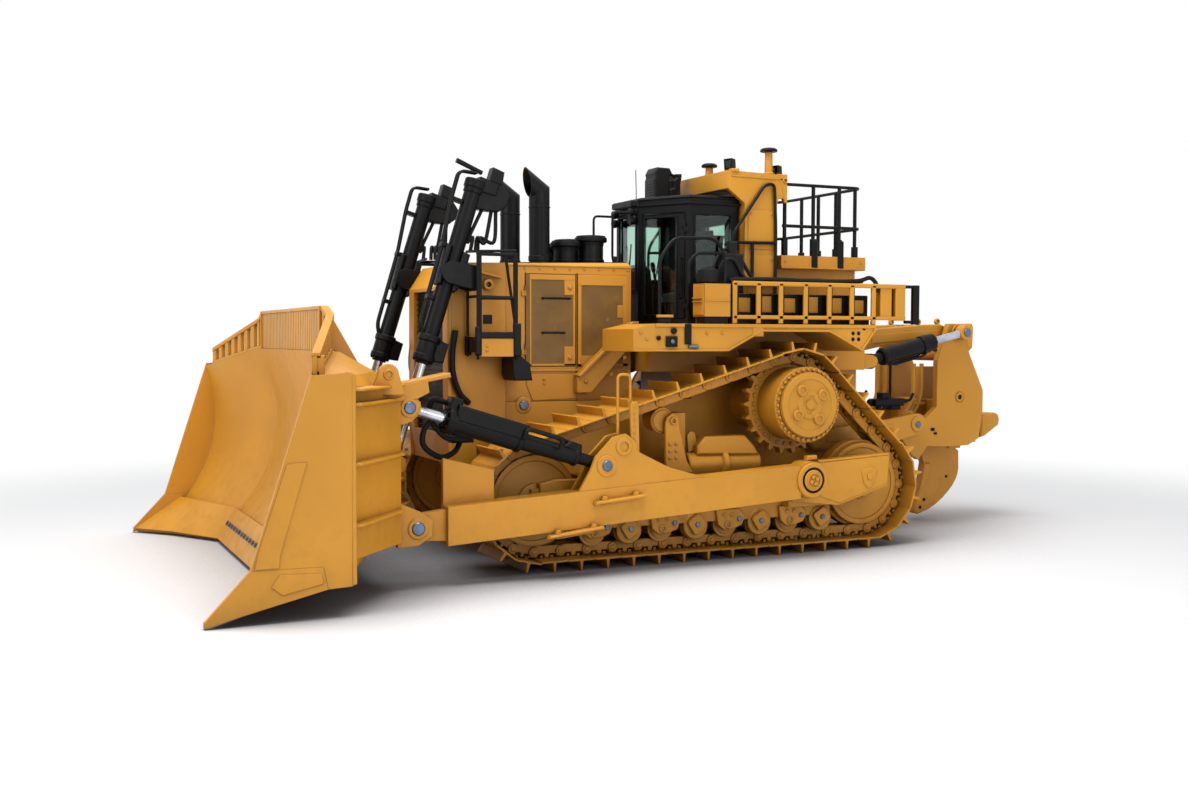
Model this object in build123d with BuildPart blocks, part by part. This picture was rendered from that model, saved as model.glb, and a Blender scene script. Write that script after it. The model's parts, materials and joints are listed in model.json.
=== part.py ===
"""Track-type tractor (bulldozer) with a U-shaped blade and a single-shank ripper.

Millimetres.  Frame: X across the machine (+X is its left side), -Y is the blade end, +Z up.
The origin is on the ground, midway across and midway along the machine.
Side profiles are drawn on planes parallel to YZ, so their points are (y, z).
"""
from build123d import *
import math
import os

os.makedirs("parts", exist_ok=True)

# ---------------------------------------------------------------- driving dimensions
SEAT_GAP = 0.3          # clearance where two pieces meet without being fused
PIN_GAP = 1.0           # clearance round pins
ROD_GAP = 0.6           # clearance round a cylinder's rod

HINGE_RADIUS = 12       # door hinges: barrel, strap length and barrel height
HINGE_REACH = 45
HINGE_BARREL = 60
DOOR_GAP = 6            # clearance round each engine door

# running gear
TRACK_X = 1448          # track centre plane from the middle of the machine
SHOE_WIDTH = 710
SHOE_PLATE = 24
GROUSER_HEIGHT = 102
GROUSER_WIDTH = 38
SHOE_PITCH = 317.5
RAIL_HEIGHT = 140       # chain rail, from the roller tread to the shoe plate
RAIL_WIDTH = 62
RAIL_OFFSET = 105       # chain rail centre from the track centre plane
IDLER_RADIUS = 500      # tread that the chain rails run on
IDLER_WIDTH = 290
SPROCKET_RAIL_RADIUS = 484
SPROCKET_TIP_RADIUS = 606
SPROCKET_TEETH = 22
SPROCKET_THICKNESS = 108
IDLER_Z = IDLER_RADIUS + RAIL_HEIGHT + SHOE_PLATE + GROUSER_HEIGHT
FRONT_IDLER = (-1921, IDLER_Z)
REAR_IDLER = (2405, IDLER_Z)
SPROCKET = (1390, 1765)
TRACK_ROLLER_RADIUS = 124
TRACK_ROLLER_FLANGE = 160
ROLLER_AXLE_RADIUS = 60
IDLER_AXLE_RADIUS = 95
TRACK_ROLLER_COUNT = 8
TRACK_ROLLER_FIRST_Y = -1240
TRACK_ROLLER_STEP = 425
CARRIER_ROLLER_Y = -340
CARRIER_ROLLER_RADIUS = 130
FINAL_DRIVE_RADIUS = 430
FINAL_DRIVE_STANDOUT = 502      # final drive's outer face, outside the track centre plane
FINAL_DRIVE_FACE_X = TRACK_X + FINAL_DRIVE_STANDOUT
FINAL_DRIVE_INSET = 328         # where the drive housing widens, inside the track centre plane
ROLLER_FRAME_HALF_WIDTH = 160
ROLLER_FRAME_BOTTOM = 600
ROLLER_FRAME_TOP = 1010
ROLLER_FRAME_END_ROOM = 60     # between an idler's tread and the end of the roller frame's beam
YOKE_LAP = 40                   # how far an idler's yoke plates reach onto the beam

# main frame
FRAME_HALF_WIDTH = 690
BELLY_HEIGHT = 680
CASE_TOP = 2140
FRAME_FRONT_Y = -2260
FRAME_REAR_Y = 2960
PIVOT_SHAFT_RADIUS = 105
PIVOT_SHAFT = (700, 840)
PIVOT_SHAFT_END = 192   # shaft end, outside the track centre plane
PIVOT_BOSS_RADIUS = 150
PIVOT_BOSS_INSET = 368  # boss face, inside the track centre plane

# hood and radiator guard
HOOD_HALF_WIDTH = 650
HOOD_FRONT_Y = -1930
HOOD_REAR_Y = -290
HOOD_TOP_FRONT = 3400
HOOD_TOP_REAR = 3440
HOOD_SHEET = 30
DOOR_BOTTOM = 2205
DOOR_THICKNESS = 40
GUARD_HALF_WIDTH = 740
STACK_X = 478
STACK_Y = -1405
STACK_RADIUS = 122

# cab
DECK_TOP = 2700
CAB_FLOOR = DECK_TOP + SEAT_GAP
CAB_TOP = 4240
CAB_WALL = 55
CAB_FRONT_Y = -20
DOOR_SHIFT = 4          # cab doors sit this far behind the middle of their wall
PANE_SHIFT = 40         # and their panes this far in front of it
CAB_REAR_Y = 1480
CAB_FRONT_HALF = 300
CAB_WIDE_HALF = 950
B_PILLAR_Y = 330
CAB_STEP_Y = 1005
CAB_REAR_HALF = 780
ROOF_UNIT_TOP = 4680
ROPS_HALF_WIDTH = 1060
ROPS_TOP = 4555
ROPS_SIDE_PLATE = 60
ROPS_FRONT_Y = 800
ROPS_REAR_Y = 1640
ROPS_POST_FRONT_Y = 1040
ROPS_POST_REAR_Y = 1495

# decks, tank and rails
DECK_OVERHANG = 362      # deck edge, outside the track centre plane
DECK_OUTER_X = TRACK_X + DECK_OVERHANG
DECK_REAR_Y = 2440
DECK_INNER_X = 1005
TANK_TOP = 3565
TANK_STEP_Z = 3400        # the tank is narrower below this height
TANK_FRONT_Y = 1600
TANK_REAR_Y = 2860
TANK_HALF_WIDTH = 1000
RAIL_RADIUS = 20
REAR_RAIL_HEIGHT = 4440
REAR_RAIL_MIDDLE = 3930
REAR_RAIL_HALF_WIDTH = 960
REAR_RAIL_Y = 2820
BASKET_X = 1770          # middle of the railing round each deck
BASKET_TOP = 3190
BASKET_REAR_Y = 2885

# blade and push arms
BLADE_HALF_WIDTH = 3179
OVERALL_HALF_LENGTH = 5637
END_PLATE = 66
WEAR_PLATE = 12          # how far the blade end's wear plates stand off it
BLADE_END_X = BLADE_HALF_WIDTH - WEAR_PLATE
BLADE_JOINT_X = 1850     # where the straight middle of the blade meets its wing
EDGE_JOINT_INSET = 539   # joint of the cutting edge and the end bit, from the blade's end
GUARD_JOINT_X = 1600     # where the rock guard's middle plate meets its wing
GUARD_END_INSET = 229    # end of the guard's wing, from the blade's end
GUARD_TOP = 2860
GUARD_END_TOP = 2400
GUARD_PLATE = 50
ARM_WIDTH = 250
ARM_TRACK_GAP = 112      # between a shoe's end and the push arm
ARM_X = TRACK_X + SHOE_WIDTH / 2 + ARM_TRACK_GAP + ARM_WIDTH / 2
TRUNNION = (1298, 908)
TRUNNION_RADIUS = 118
MOUNT_YOKE_ROOM = 45     # between the push arm's mount and the rear idler's yoke
ARM_PIN = (-3405, 621)
ARM_PIN_RADIUS = 70
ARM_FRONT_Y = -3090
TILT_LOW_PIN = (-1309, 1174)
TILT_HIGH_PIN = (-3485, 1840)
TILT_BARREL_RADIUS = 118
TILT_ROD_RADIUS = 56
TILT_BARREL_LENGTH = 1850

# blade lift cylinders
LIFT_X = 886
LIFT_TRUNNION = (-2655, 3255)
LIFT_EYE = (-3310, 1160)
LIFT_BARREL_RADIUS = 95
LIFT_ROD_RADIUS = 57
LIFT_GLAND_REACH = 1000
LIFT_HEAD_REACH = 1060
LIFT_YOKE_GAP = 14         # beside the barrel, inside its yoke
LIFT_YOKE_CHEEK = 56
LIFT_YOKE_RADIUS = 125
LIFT_YOKE_DEPTH = 295      # back from the trunnion to the yoke's rear face

# ripper
LINK_FRONT_PIN = (2273, 1240)
LINK_REAR_PIN = (3852, 1409)
UPPER_REAR_PIN = (4629, 2622)
RIPPER_CYL_FRONT = (3060, 2245)
RIPPER_PLATE_X = 640
RIPPER_PLATE = 90
RIPPER_PIN_RADIUS = 62
SHANK_THICKNESS = 110
RIPPER_BARREL_RADIUS = 105
RIPPER_ROD_RADIUS = 55

SIDES = (("left", 1), ("right", -1))


def offset_point(point, direction, distance):
    """The point that lies `distance` from `point` along the unit vector `direction`."""
    return (point[0] + direction[0] * distance, point[1] + direction[1] * distance)


def unit(start, end):
    """Unit vector from start to end, and the distance between them."""
    length = math.dist(start, end)
    return ((end[0] - start[0]) / length, (end[1] - start[1]) / length), length


def prism(points, x_low, x_high, mode=Mode.ADD):
    """Closed side profile of (y, z) points, extruded across the machine between two X values."""
    with BuildSketch(Plane.YZ.offset(x_low)) as profile:
        with BuildLine():
            Polyline(*points, close=True)
        make_face()
    extrude(profile.sketch, amount=x_high - x_low, mode=mode)


def disc(x_low, x_high, centre, radius, mode=Mode.ADD):
    """Cylinder whose axis runs across the machine through the (y, z) point `centre`."""
    with BuildSketch(Plane.YZ.offset(x_low)) as circle:
        with Locations(centre):
            Circle(radius)
    extrude(circle.sketch, amount=x_high - x_low, mode=mode)


def block(x_range, y_range, z_range, mode=Mode.ADD):
    """Box between two values on each axis."""
    with Locations(((x_range[0] + x_range[1]) / 2, (y_range[0] + y_range[1]) / 2,
                    (z_range[0] + z_range[1]) / 2)):
        Box(x_range[1] - x_range[0], y_range[1] - y_range[0], z_range[1] - z_range[0], mode=mode)


def rod(start, end, radius, mode=Mode.ADD):
    """Round bar between two (x, y, z) points."""
    axis = Vector(*end) - Vector(*start)
    with BuildSketch(Plane(origin=start, z_dir=axis)) as circle:
        Circle(radius)
    extrude(circle.sketch, amount=axis.length, mode=mode)


def tube_path(points, radius, bend):
    """Round bar along straight runs joined by bends of one radius."""
    with BuildLine() as path:
        FilletPolyline(*points, radius=bend)
    start = Plane(origin=path.line @ 0, z_dir=path.line % 0)
    with BuildSketch(start) as circle:
        Circle(radius)
    sweep(circle.sketch, path=path.line)


def plan_prism(points, z_low, z_high, mode=Mode.ADD):
    """Closed plan outline of (x, y) points, extruded upward between two heights."""
    with BuildSketch(Plane.XY.offset(z_low)) as plan:
        with BuildLine():
            Polyline(*points, close=True)
        make_face()
    extrude(plan.sketch, amount=z_high - z_low, mode=mode)


def hinge_leaf(axis, toward, outward, z_low, z_high, lead):
    """Half of a strap hinge: a barrel on the (x, y) axis and a strap laid on the face beside it."""
    with BuildSketch(Plane.XY.offset(z_low)) as barrel:
        with Locations(axis):
            Circle(HINGE_RADIUS - SEAT_GAP)
    extrude(barrel.sketch, amount=z_high - z_low)
    outline = ((0, 3 - HINGE_RADIUS), (lead, 3 - HINGE_RADIUS), (lead, -1 - HINGE_RADIUS),
               (HINGE_REACH, -1 - HINGE_RADIUS), (HINGE_REACH, 2), (0, 2))
    plan_prism([(axis[0] + toward[0] * along_face + outward[0] * off_face,
                 axis[1] + toward[1] * along_face + outward[1] * off_face)
                for along_face, off_face in outline], z_low, z_high)


# ================================================================ running gear
SHOE_INNER = RAIL_HEIGHT
SHOE_OUTER = RAIL_HEIGHT + SHOE_PLATE
WHEELS = ((FRONT_IDLER, IDLER_RADIUS), (REAR_IDLER, IDLER_RADIUS), (SPROCKET, SPROCKET_RAIL_RADIUS))


def wheel_hull(height):
    """Flat (y, z) face inside the loop that runs round the wheels, at one height above their treads."""
    with BuildSketch() as hull:
        for centre, radius in WHEELS:
            with Locations(centre):
                Circle(radius + height)
        make_hull()
    return hull.sketch


def shoe_stations(height):
    """Evenly spaced (y, z, outward angle) stations along the loop at one height above the treads."""
    runs = []
    order = (WHEELS[0], WHEELS[1], WHEELS[2])
    for (start, start_radius), (end, end_radius) in zip(order, order[1:] + order[:1]):
        direction, gap = unit(start, end)
        heading = math.atan2(direction[1], direction[0])
        outward = heading - math.pi / 2 + math.asin((end_radius - start_radius) / gap) * -1
        normal = (math.cos(outward), math.sin(outward))
        first = offset_point(start, normal, start_radius + height)
        last = offset_point(end, normal, end_radius + height)
        runs.append((first, last, outward, end, end_radius + height))
    total = 0
    pieces = []
    for index, (first, last, outward, centre, radius) in enumerate(runs):
        length = math.dist(first, last)
        turn = (runs[(index + 1) % 3][2] - outward) % (2 * math.pi)
        pieces.append(("run", length, first, last, outward))
        pieces.append(("bend", turn * radius, centre, radius, outward))
        total += length + turn * radius
    count = round(total / SHOE_PITCH)
    stations = []
    for number in range(count):
        distance = total * (number + 0.5) / count
        for kind, length, one, two, outward in pieces:
            if distance <= length:
                break
            distance -= length
        if kind == "run":
            share = distance / length
            place = (one[0] + (two[0] - one[0]) * share, one[1] + (two[1] - one[1]) * share)
            stations.append((place[0], place[1], outward))
        else:
            angle = outward + distance / two
            place = offset_point(one, (math.cos(angle), math.sin(angle)), two)
            stations.append((place[0], place[1], angle))
    return stations


SHOE_STATIONS = shoe_stations(SHOE_OUTER + GROUSER_HEIGHT / 2 - 1)

def under_upper_run(y, radius):
    """Height of the axle of a roller that carries the chain's upper run at one place along it."""
    toward, gap = unit(FRONT_IDLER, SPROCKET)
    slope = math.atan2(toward[1], toward[0]) - math.asin((IDLER_RADIUS - SPROCKET_RAIL_RADIUS) / gap)
    tread = FRONT_IDLER[1] + IDLER_RADIUS / math.cos(slope) + (y - FRONT_IDLER[0]) * math.tan(slope)
    return tread - (radius + SEAT_GAP) / math.cos(slope)


CARRIER_ROLLER = (CARRIER_ROLLER_Y, under_upper_run(CARRIER_ROLLER_Y, CARRIER_ROLLER_RADIUS))
ROLLER_Z = FRONT_IDLER[1] - IDLER_RADIUS + TRACK_ROLLER_RADIUS + SEAT_GAP
ROLLER_PLACES = [(TRACK_ROLLER_FIRST_Y + number * TRACK_ROLLER_STEP, ROLLER_Z)
                 for number in range(TRACK_ROLLER_COUNT)]
RAIL_INNER_HALF = RAIL_OFFSET - RAIL_WIDTH / 2
RAIL_OUTER_HALF = RAIL_OFFSET + RAIL_WIDTH / 2
BEAM_FRONT_Y = FRONT_IDLER[0] + IDLER_RADIUS + ROLLER_FRAME_END_ROOM
BEAM_REAR_Y = REAR_IDLER[0] - IDLER_RADIUS - ROLLER_FRAME_END_ROOM

for side, sign in SIDES:
    centre_x = sign * TRACK_X
    shoe_low = centre_x - SHOE_WIDTH / 2
    with BuildPart() as track:
        with BuildSketch(Plane.YZ.offset(shoe_low)):
            add(wheel_hull(SHOE_OUTER))
            with Locations(*(Location((y, z, 0), (0, 0, math.degrees(outward)))
                             for y, z, outward in SHOE_STATIONS)):
                Rectangle(GROUSER_HEIGHT + 2, GROUSER_WIDTH)
            add(wheel_hull(SHOE_INNER), mode=Mode.SUBTRACT)
        extrude(amount=SHOE_WIDTH)
        for rail_shift in (-RAIL_OFFSET, RAIL_OFFSET):
            with BuildSketch(Plane.YZ.offset(centre_x + rail_shift - RAIL_WIDTH / 2)):
                add(wheel_hull(SHOE_INNER + 2))
                add(wheel_hull(0), mode=Mode.SUBTRACT)
            extrude(amount=RAIL_WIDTH)
    track.part.label = f"track_{side}"
    export_step(track.part, f"parts/track_{side}.step")

    with BuildPart() as roller_frame:
        half = ROLLER_FRAME_HALF_WIDTH
        prism(((BEAM_FRONT_Y, ROLLER_FRAME_BOTTOM), (BEAM_REAR_Y, ROLLER_FRAME_BOTTOM),
               (BEAM_REAR_Y, ROLLER_FRAME_TOP), (BEAM_FRONT_Y, ROLLER_FRAME_TOP)),
              centre_x - half, centre_x + half)
        # yoke plates beside both idlers, and saddles that carry the track rollers
        for plate in (-1, 1):
            low = centre_x + plate * (IDLER_WIDTH / 2 + 8)
            high = low + plate * 60
            for wheel, inner_y in ((FRONT_IDLER, BEAM_FRONT_Y + YOKE_LAP),
                                   (REAR_IDLER, BEAM_REAR_Y - YOKE_LAP)):
                toward = 1 if inner_y > wheel[0] else -1
                prism(((wheel[0] - toward * 60, wheel[1] - 126), (inner_y, wheel[1] - 126),
                       (inner_y, wheel[1] + 174), (wheel[0] - toward * 60, wheel[1] + 134)),
                      min(low, high), max(low, high))
                disc(min(low, high), max(low, high), wheel, IDLER_AXLE_RADIUS + SEAT_GAP,
                     mode=Mode.SUBTRACT)
            saddle = centre_x + plate * 200
            prism(((-1380, 520), (-1360, 430), (1860, 430), (1880, 520), (1780, 640), (-1300, 640)),
                  min(saddle, saddle + plate * 40), max(saddle, saddle + plate * 40))
            block(sorted((centre_x + plate * half, saddle + plate * 5)),
                  (-1300, 1800), (ROLLER_FRAME_BOTTOM, 640))
        for place in ROLLER_PLACES:
            disc(centre_x - 245, centre_x + 245, place, ROLLER_AXLE_RADIUS + SEAT_GAP, mode=Mode.SUBTRACT)
        disc(centre_x - half - 1, centre_x + half + 1, PIVOT_SHAFT, PIVOT_SHAFT_RADIUS + SEAT_GAP,
             mode=Mode.SUBTRACT)
        # post that carries the carrier roller, and the bracket beside the roller
        roller_rear_y = CARRIER_ROLLER[0] + CARRIER_ROLLER_RADIUS
        post_y = (roller_rear_y + 30, roller_rear_y + 200)
        bracket_z = (CARRIER_ROLLER[1] - 60, CARRIER_ROLLER[1] + 60)
        block((centre_x - 60, centre_x + 60), post_y, (ROLLER_FRAME_TOP - 5, bracket_z[1]))
        block((centre_x - 190, centre_x - 130), (CARRIER_ROLLER[0] - 60, post_y[1]), bracket_z)
        block((centre_x - 190, centre_x - 55), post_y, bracket_z)
    roller_frame.part.label = f"roller_frame_{side}"
    export_step(roller_frame.part, f"parts/roller_frame_{side}.step")

with BuildPart() as idlers:
    for sign in (-1, 1):
        centre_x = sign * TRACK_X
        for wheel in (FRONT_IDLER, REAR_IDLER):
            disc(centre_x - IDLER_WIDTH / 2, centre_x + IDLER_WIDTH / 2, wheel, IDLER_RADIUS - SEAT_GAP)
            disc(centre_x - RAIL_INNER_HALF + 8, centre_x + RAIL_INNER_HALF - 8, wheel, IDLER_RADIUS + 34)
            disc(centre_x - 215, centre_x + 215, wheel, IDLER_AXLE_RADIUS)
idlers.part.label = "idlers"
export_step(idlers.part, "parts/idlers.step")

with BuildPart() as track_rollers:
    for sign in (-1, 1):
        centre_x = sign * TRACK_X
        for place in ROLLER_PLACES:
            disc(centre_x - 185, centre_x + 185, place, TRACK_ROLLER_RADIUS)
            disc(centre_x - 240, centre_x + 240, place, ROLLER_AXLE_RADIUS)
            for flange in (-1, 1):
                edge = centre_x + flange * (RAIL_OUTER_HALF + 6)
                disc(min(edge, edge + flange * 34), max(edge, edge + flange * 34), place, TRACK_ROLLER_FLANGE)
        disc(centre_x - 130 + SEAT_GAP, centre_x + 130, CARRIER_ROLLER, CARRIER_ROLLER_RADIUS)
track_rollers.part.label = "track_rollers"
export_step(track_rollers.part, "parts/track_rollers.step")

with BuildPart() as sprockets:
    for sign in (-1, 1):
        with BuildSketch(Plane.YZ.offset(sign * TRACK_X - SPROCKET_THICKNESS / 2)):
            with Locations(SPROCKET):
                Circle(SPROCKET_TIP_RADIUS - 62)
                with PolarLocations(SPROCKET_TIP_RADIUS - 45, SPROCKET_TEETH):
                    Trapezoid(84, 90, 72, rotation=-90)
                Circle(FINAL_DRIVE_RADIUS + SEAT_GAP, mode=Mode.SUBTRACT)
        extrude(amount=SPROCKET_THICKNESS)
sprockets.part.label = "sprockets"
export_step(sprockets.part, "parts/sprockets.step")

with BuildPart() as final_drives:
    for sign in (-1, 1):
        inner_face = TRACK_X - FINAL_DRIVE_INSET
        for low, high, radius in ((FRAME_HALF_WIDTH + SEAT_GAP, inner_face, FINAL_DRIVE_RADIUS - 100),
                                  (inner_face, FINAL_DRIVE_FACE_X - 60, FINAL_DRIVE_RADIUS),
                                  (FINAL_DRIVE_FACE_X - 60, FINAL_DRIVE_FACE_X, FINAL_DRIVE_RADIUS - 45)):
            disc(min(sign * low, sign * high), max(sign * low, sign * high), SPROCKET, radius)
final_drives.part.label = "final_drives"
export_step(final_drives.part, "parts/final_drives.step")

# ================================================================ main frame
with BuildPart() as main_frame:
    half = FRAME_HALF_WIDTH
    prism(((FRAME_FRONT_Y, 980), (-1950, BELLY_HEIGHT), (2650, BELLY_HEIGHT), (FRAME_REAR_Y, 980),
           (FRAME_REAR_Y, CASE_TOP), (520, CASE_TOP), (520, 1300), (FRAME_FRONT_Y, 1300)), -half, half)
    for low, high in ((-half, -half + 170), (half - 170, half)):
        block((low, high), (HOOD_FRONT_Y, 530), (1295, 1800))
    for sign in (-1, 1):
        # boss and pivot shaft that carry the roller frame
        disc(*sorted((sign * 600, sign * (TRACK_X - PIVOT_BOSS_INSET))), PIVOT_SHAFT, PIVOT_BOSS_RADIUS)
        disc(*sorted((sign * 600, sign * (TRACK_X + PIVOT_SHAFT_END))), PIVOT_SHAFT, PIVOT_SHAFT_RADIUS)
main_frame.part.label = "main_frame"
export_step(main_frame.part, "parts/main_frame.step")

with BuildPart() as engine_block:
    block((-430, 430), (-1780, -420), (1300, 2900))
    fillet(engine_block.edges().filter_by(Axis.Y), 60)
engine_block.part.label = "engine_block"
export_step(engine_block.part, "parts/engine_block.step")

# ================================================================ hood
ENGINE_HINGE_Y = -1653
ENGINE_HINGE_HEIGHTS = (DOOR_BOTTOM + 140, 3285 - 260)


def hood_top(y):
    """Height of the hood's sloping top at one place along it."""
    share = (y - HOOD_FRONT_Y) / (HOOD_REAR_Y - HOOD_FRONT_Y)
    return HOOD_TOP_FRONT + (HOOD_TOP_REAR - HOOD_TOP_FRONT) * share


with BuildPart() as hood:
    half = HOOD_HALF_WIDTH
    prism(((HOOD_FRONT_Y, 1800), (HOOD_REAR_Y, 1800), (HOOD_REAR_Y, HOOD_TOP_REAR),
           (HOOD_FRONT_Y, HOOD_TOP_FRONT)), -half, half)
    shoulders = hood.edges().filter_by(lambda edge: edge.length > 1000 and edge.center().Z > 3300)
    chamfer(shoulders, 40)
    prism(((HOOD_FRONT_Y - 1, 1799), (HOOD_REAR_Y - HOOD_SHEET, 1799),
           (HOOD_REAR_Y - HOOD_SHEET, HOOD_TOP_REAR - 60), (HOOD_FRONT_Y - 1, HOOD_TOP_FRONT - 60)),
          -half + DOOR_THICKNESS, half - DOOR_THICKNESS, mode=Mode.SUBTRACT)
    for low, high in ((-1650, -1010), (-985, -330)):
        block((-half - 1, half + 1), (low, high), (DOOR_BOTTOM, 3285), mode=Mode.SUBTRACT)
    for sign in (-1, 1):
        for z in ENGINE_HINGE_HEIGHTS:
            hinge_leaf((sign * (half + HINGE_RADIUS), ENGINE_HINGE_Y), (0, -1), (sign, 0),
                       z, z + HINGE_BARREL, 1)
hood.part.label = "hood"
export_step(hood.part, "parts/hood.step")

for side, sign in SIDES:
    skin = sorted((sign * (HOOD_HALF_WIDTH - DOOR_THICKNESS), sign * HOOD_HALF_WIDTH))
    with BuildPart() as engine_door:
        block(skin, (-1650 + DOOR_GAP, -1010 - DOOR_GAP), (DOOR_BOTTOM + DOOR_GAP, 3285 - DOOR_GAP))
        for z in ENGINE_HINGE_HEIGHTS:
            hinge_leaf((sign * (HOOD_HALF_WIDTH + HINGE_RADIUS), ENGINE_HINGE_Y), (0, 1), (sign, 0),
                       z + HINGE_BARREL + SEAT_GAP, z + 2 * HINGE_BARREL, 12)
    engine_door.part.label = f"engine_door_{side}"
    export_step(engine_door.part, f"parts/engine_door_{side}.step")

with BuildPart() as engine_panels:
    for sign in (-1, 1):
        block(sorted((sign * (HOOD_HALF_WIDTH - DOOR_THICKNESS), sign * HOOD_HALF_WIDTH)),
              (-985 + SEAT_GAP, -330 - SEAT_GAP), (DOOR_BOTTOM + SEAT_GAP, 3285 - SEAT_GAP))
engine_panels.part.label = "engine_panels"
export_step(engine_panels.part, "parts/engine_panels.step")

with BuildPart() as radiator_guard:
    half = GUARD_HALF_WIDTH
    prism(((-2560, 1100), (-2620, 1500), (-2620, 3120), (-2450, 3385), (HOOD_FRONT_Y - SEAT_GAP, 3395),
           (HOOD_FRONT_Y - SEAT_GAP, 1300 + SEAT_GAP), (FRAME_FRONT_Y - 20, 1300 + SEAT_GAP),
           (FRAME_FRONT_Y - 20, 1100)), -half, half)
    prism(((-2300, 1500), (-2300, 3250), (-1900, 3330), (-1900, 1500)), -600, 600, mode=Mode.SUBTRACT)
    block((-560, 560), (-2700, -2290), (1450, 3080), mode=Mode.SUBTRACT)
radiator_guard.part.label = "radiator_guard"
export_step(radiator_guard.part, "parts/radiator_guard.step")

with BuildPart() as lift_yokes:
    yoke_rear_y = LIFT_TRUNNION[0] + LIFT_YOKE_DEPTH
    yoke_rear_z = (LIFT_TRUNNION[1] - 195, LIFT_TRUNNION[1] + 75)
    for sign in (-1, 1):
        # inner boss on the guard, outer cheek, and the web behind the cylinder that joins them
        inner = sign * (GUARD_HALF_WIDTH + SEAT_GAP)
        barrel_side = sign * (LIFT_X - LIFT_BARREL_RADIUS - LIFT_YOKE_GAP)
        cheek = (sign * (LIFT_X + LIFT_BARREL_RADIUS + LIFT_YOKE_GAP),
                 sign * (LIFT_X + LIFT_BARREL_RADIUS + LIFT_YOKE_GAP + LIFT_YOKE_CHEEK))
        disc(*sorted((inner, barrel_side)), LIFT_TRUNNION, LIFT_YOKE_RADIUS)
        disc(*sorted(cheek), LIFT_TRUNNION, LIFT_YOKE_RADIUS)
        for low, high in (sorted((inner, barrel_side)), sorted(cheek)):
            prism(((LIFT_TRUNNION[0], LIFT_TRUNNION[1] - LIFT_YOKE_RADIUS), (yoke_rear_y, yoke_rear_z[0]),
                   (yoke_rear_y, yoke_rear_z[1]), (LIFT_TRUNNION[0], LIFT_TRUNNION[1] + LIFT_YOKE_RADIUS)),
                  low, high)
        block(sorted((inner, cheek[1])), (yoke_rear_y - 60, yoke_rear_y), yoke_rear_z)
lift_yokes.part.label = "lift_yokes"
export_step(lift_yokes.part, "parts/lift_yokes.step")

with BuildPart() as radiator_grille:
    block((-560 + SEAT_GAP, 560 - SEAT_GAP), (-2560, -2500), (1450 + SEAT_GAP, 3080 - SEAT_GAP))
radiator_grille.part.label = "radiator_grille"
export_step(radiator_grille.part, "parts/radiator_grille.step")

with BuildPart() as exhaust_stacks:
    for sign in (-1, 1):
        x = sign * STACK_X
        top = (x, STACK_Y, 4245)
        tip = (x, STACK_Y - 400, 4537)
        foot = hood_top(STACK_Y + STACK_RADIUS) + SEAT_GAP
        with BuildLine() as stack_line:
            Polyline((x, STACK_Y, foot), top, tip)
        with BuildSketch(Plane.XY.offset(foot)):
            with Locations((x, STACK_Y)):
                Circle(STACK_RADIUS)
                Circle(STACK_RADIUS - 8, mode=Mode.SUBTRACT)
        sweep(path=stack_line.line, transition=Transition.RIGHT)
    # the outlet is cut nearly upright, from the inside of the elbow
    front = STACK_Y - STACK_RADIUS
    prism(((front - 2, 4170), (front - 60, 4540), (front - 60, 4900), (front - 600, 4900), (front - 600, 4170)),
          -STACK_X - 200, STACK_X + 200, mode=Mode.SUBTRACT)
exhaust_stacks.part.label = "exhaust_stacks"
export_step(exhaust_stacks.part, "parts/exhaust_stacks.step")

with BuildPart() as precleaners:
    for x, y, height, radius in ((340, -1010, 270, 165), (340, -680, 330, 175),
                                 (-340, -1010, 270, 165), (-340, -680, 330, 175)):
        base = hood_top(y + radius - 25) + SEAT_GAP
        with BuildSketch(Plane.XY.offset(base)):
            with Locations((x, y)):
                Circle(radius - 25)
        extrude(amount=height - 50)
        with BuildSketch(Plane.XY.offset(base + height - 60)):
            with Locations((x, y)):
                Circle(radius)
        extrude(amount=60)
precleaners.part.label = "precleaners"
export_step(precleaners.part, "parts/precleaners.step")

# ================================================================ cab
CAB_SIDE = ((CAB_FRONT_HALF, CAB_FRONT_Y), (CAB_WIDE_HALF, B_PILLAR_Y), (CAB_WIDE_HALF, CAB_STEP_Y),
            (CAB_REAR_HALF, CAB_STEP_Y), (CAB_REAR_HALF, CAB_REAR_Y))
CAB_PLAN = CAB_SIDE + tuple((-x, y) for x, y in reversed(CAB_SIDE))
DOOR_RUN = math.dist(CAB_PLAN[0], CAB_PLAN[1])
DOOR_ANGLE = math.degrees(math.atan2(B_PILLAR_Y - CAB_FRONT_Y, CAB_WIDE_HALF - CAB_FRONT_HALF))
CAB_DOOR_BOTTOM = CAB_FLOOR + 70
CAB_DOOR_TOP = CAB_TOP - 190


CAB_HINGE_HEIGHTS = (CAB_DOOR_BOTTOM + 120, CAB_DOOR_TOP - 240)


def door_direction(sign):
    """Unit (x, y) vector along a cab door, from the front pillar back to its hinge."""
    return (sign * math.cos(math.radians(DOOR_ANGLE)), math.sin(math.radians(DOOR_ANGLE)))


def door_outward(sign):
    """Unit (x, y) vector out of a cab door's face."""
    return (sign * math.sin(math.radians(DOOR_ANGLE)), -math.cos(math.radians(DOOR_ANGLE)))


def cab_hinge_axis(sign):
    """Where a cab door's hinge axis stands, in plan."""
    face_point = offset_point((sign * CAB_FRONT_HALF, CAB_FRONT_Y), door_direction(sign), DOOR_RUN - 47)
    return offset_point(face_point, door_outward(sign), HINGE_RADIUS)


def door_plane(sign):
    """Plane in the outer face of a cab door: x runs from the front pillar back, y up, z outward."""
    return Plane(origin=(sign * CAB_FRONT_HALF, CAB_FRONT_Y, CAB_FLOOR),
                 x_dir=(*door_direction(sign), 0), z_dir=(*door_outward(sign), 0))


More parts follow.
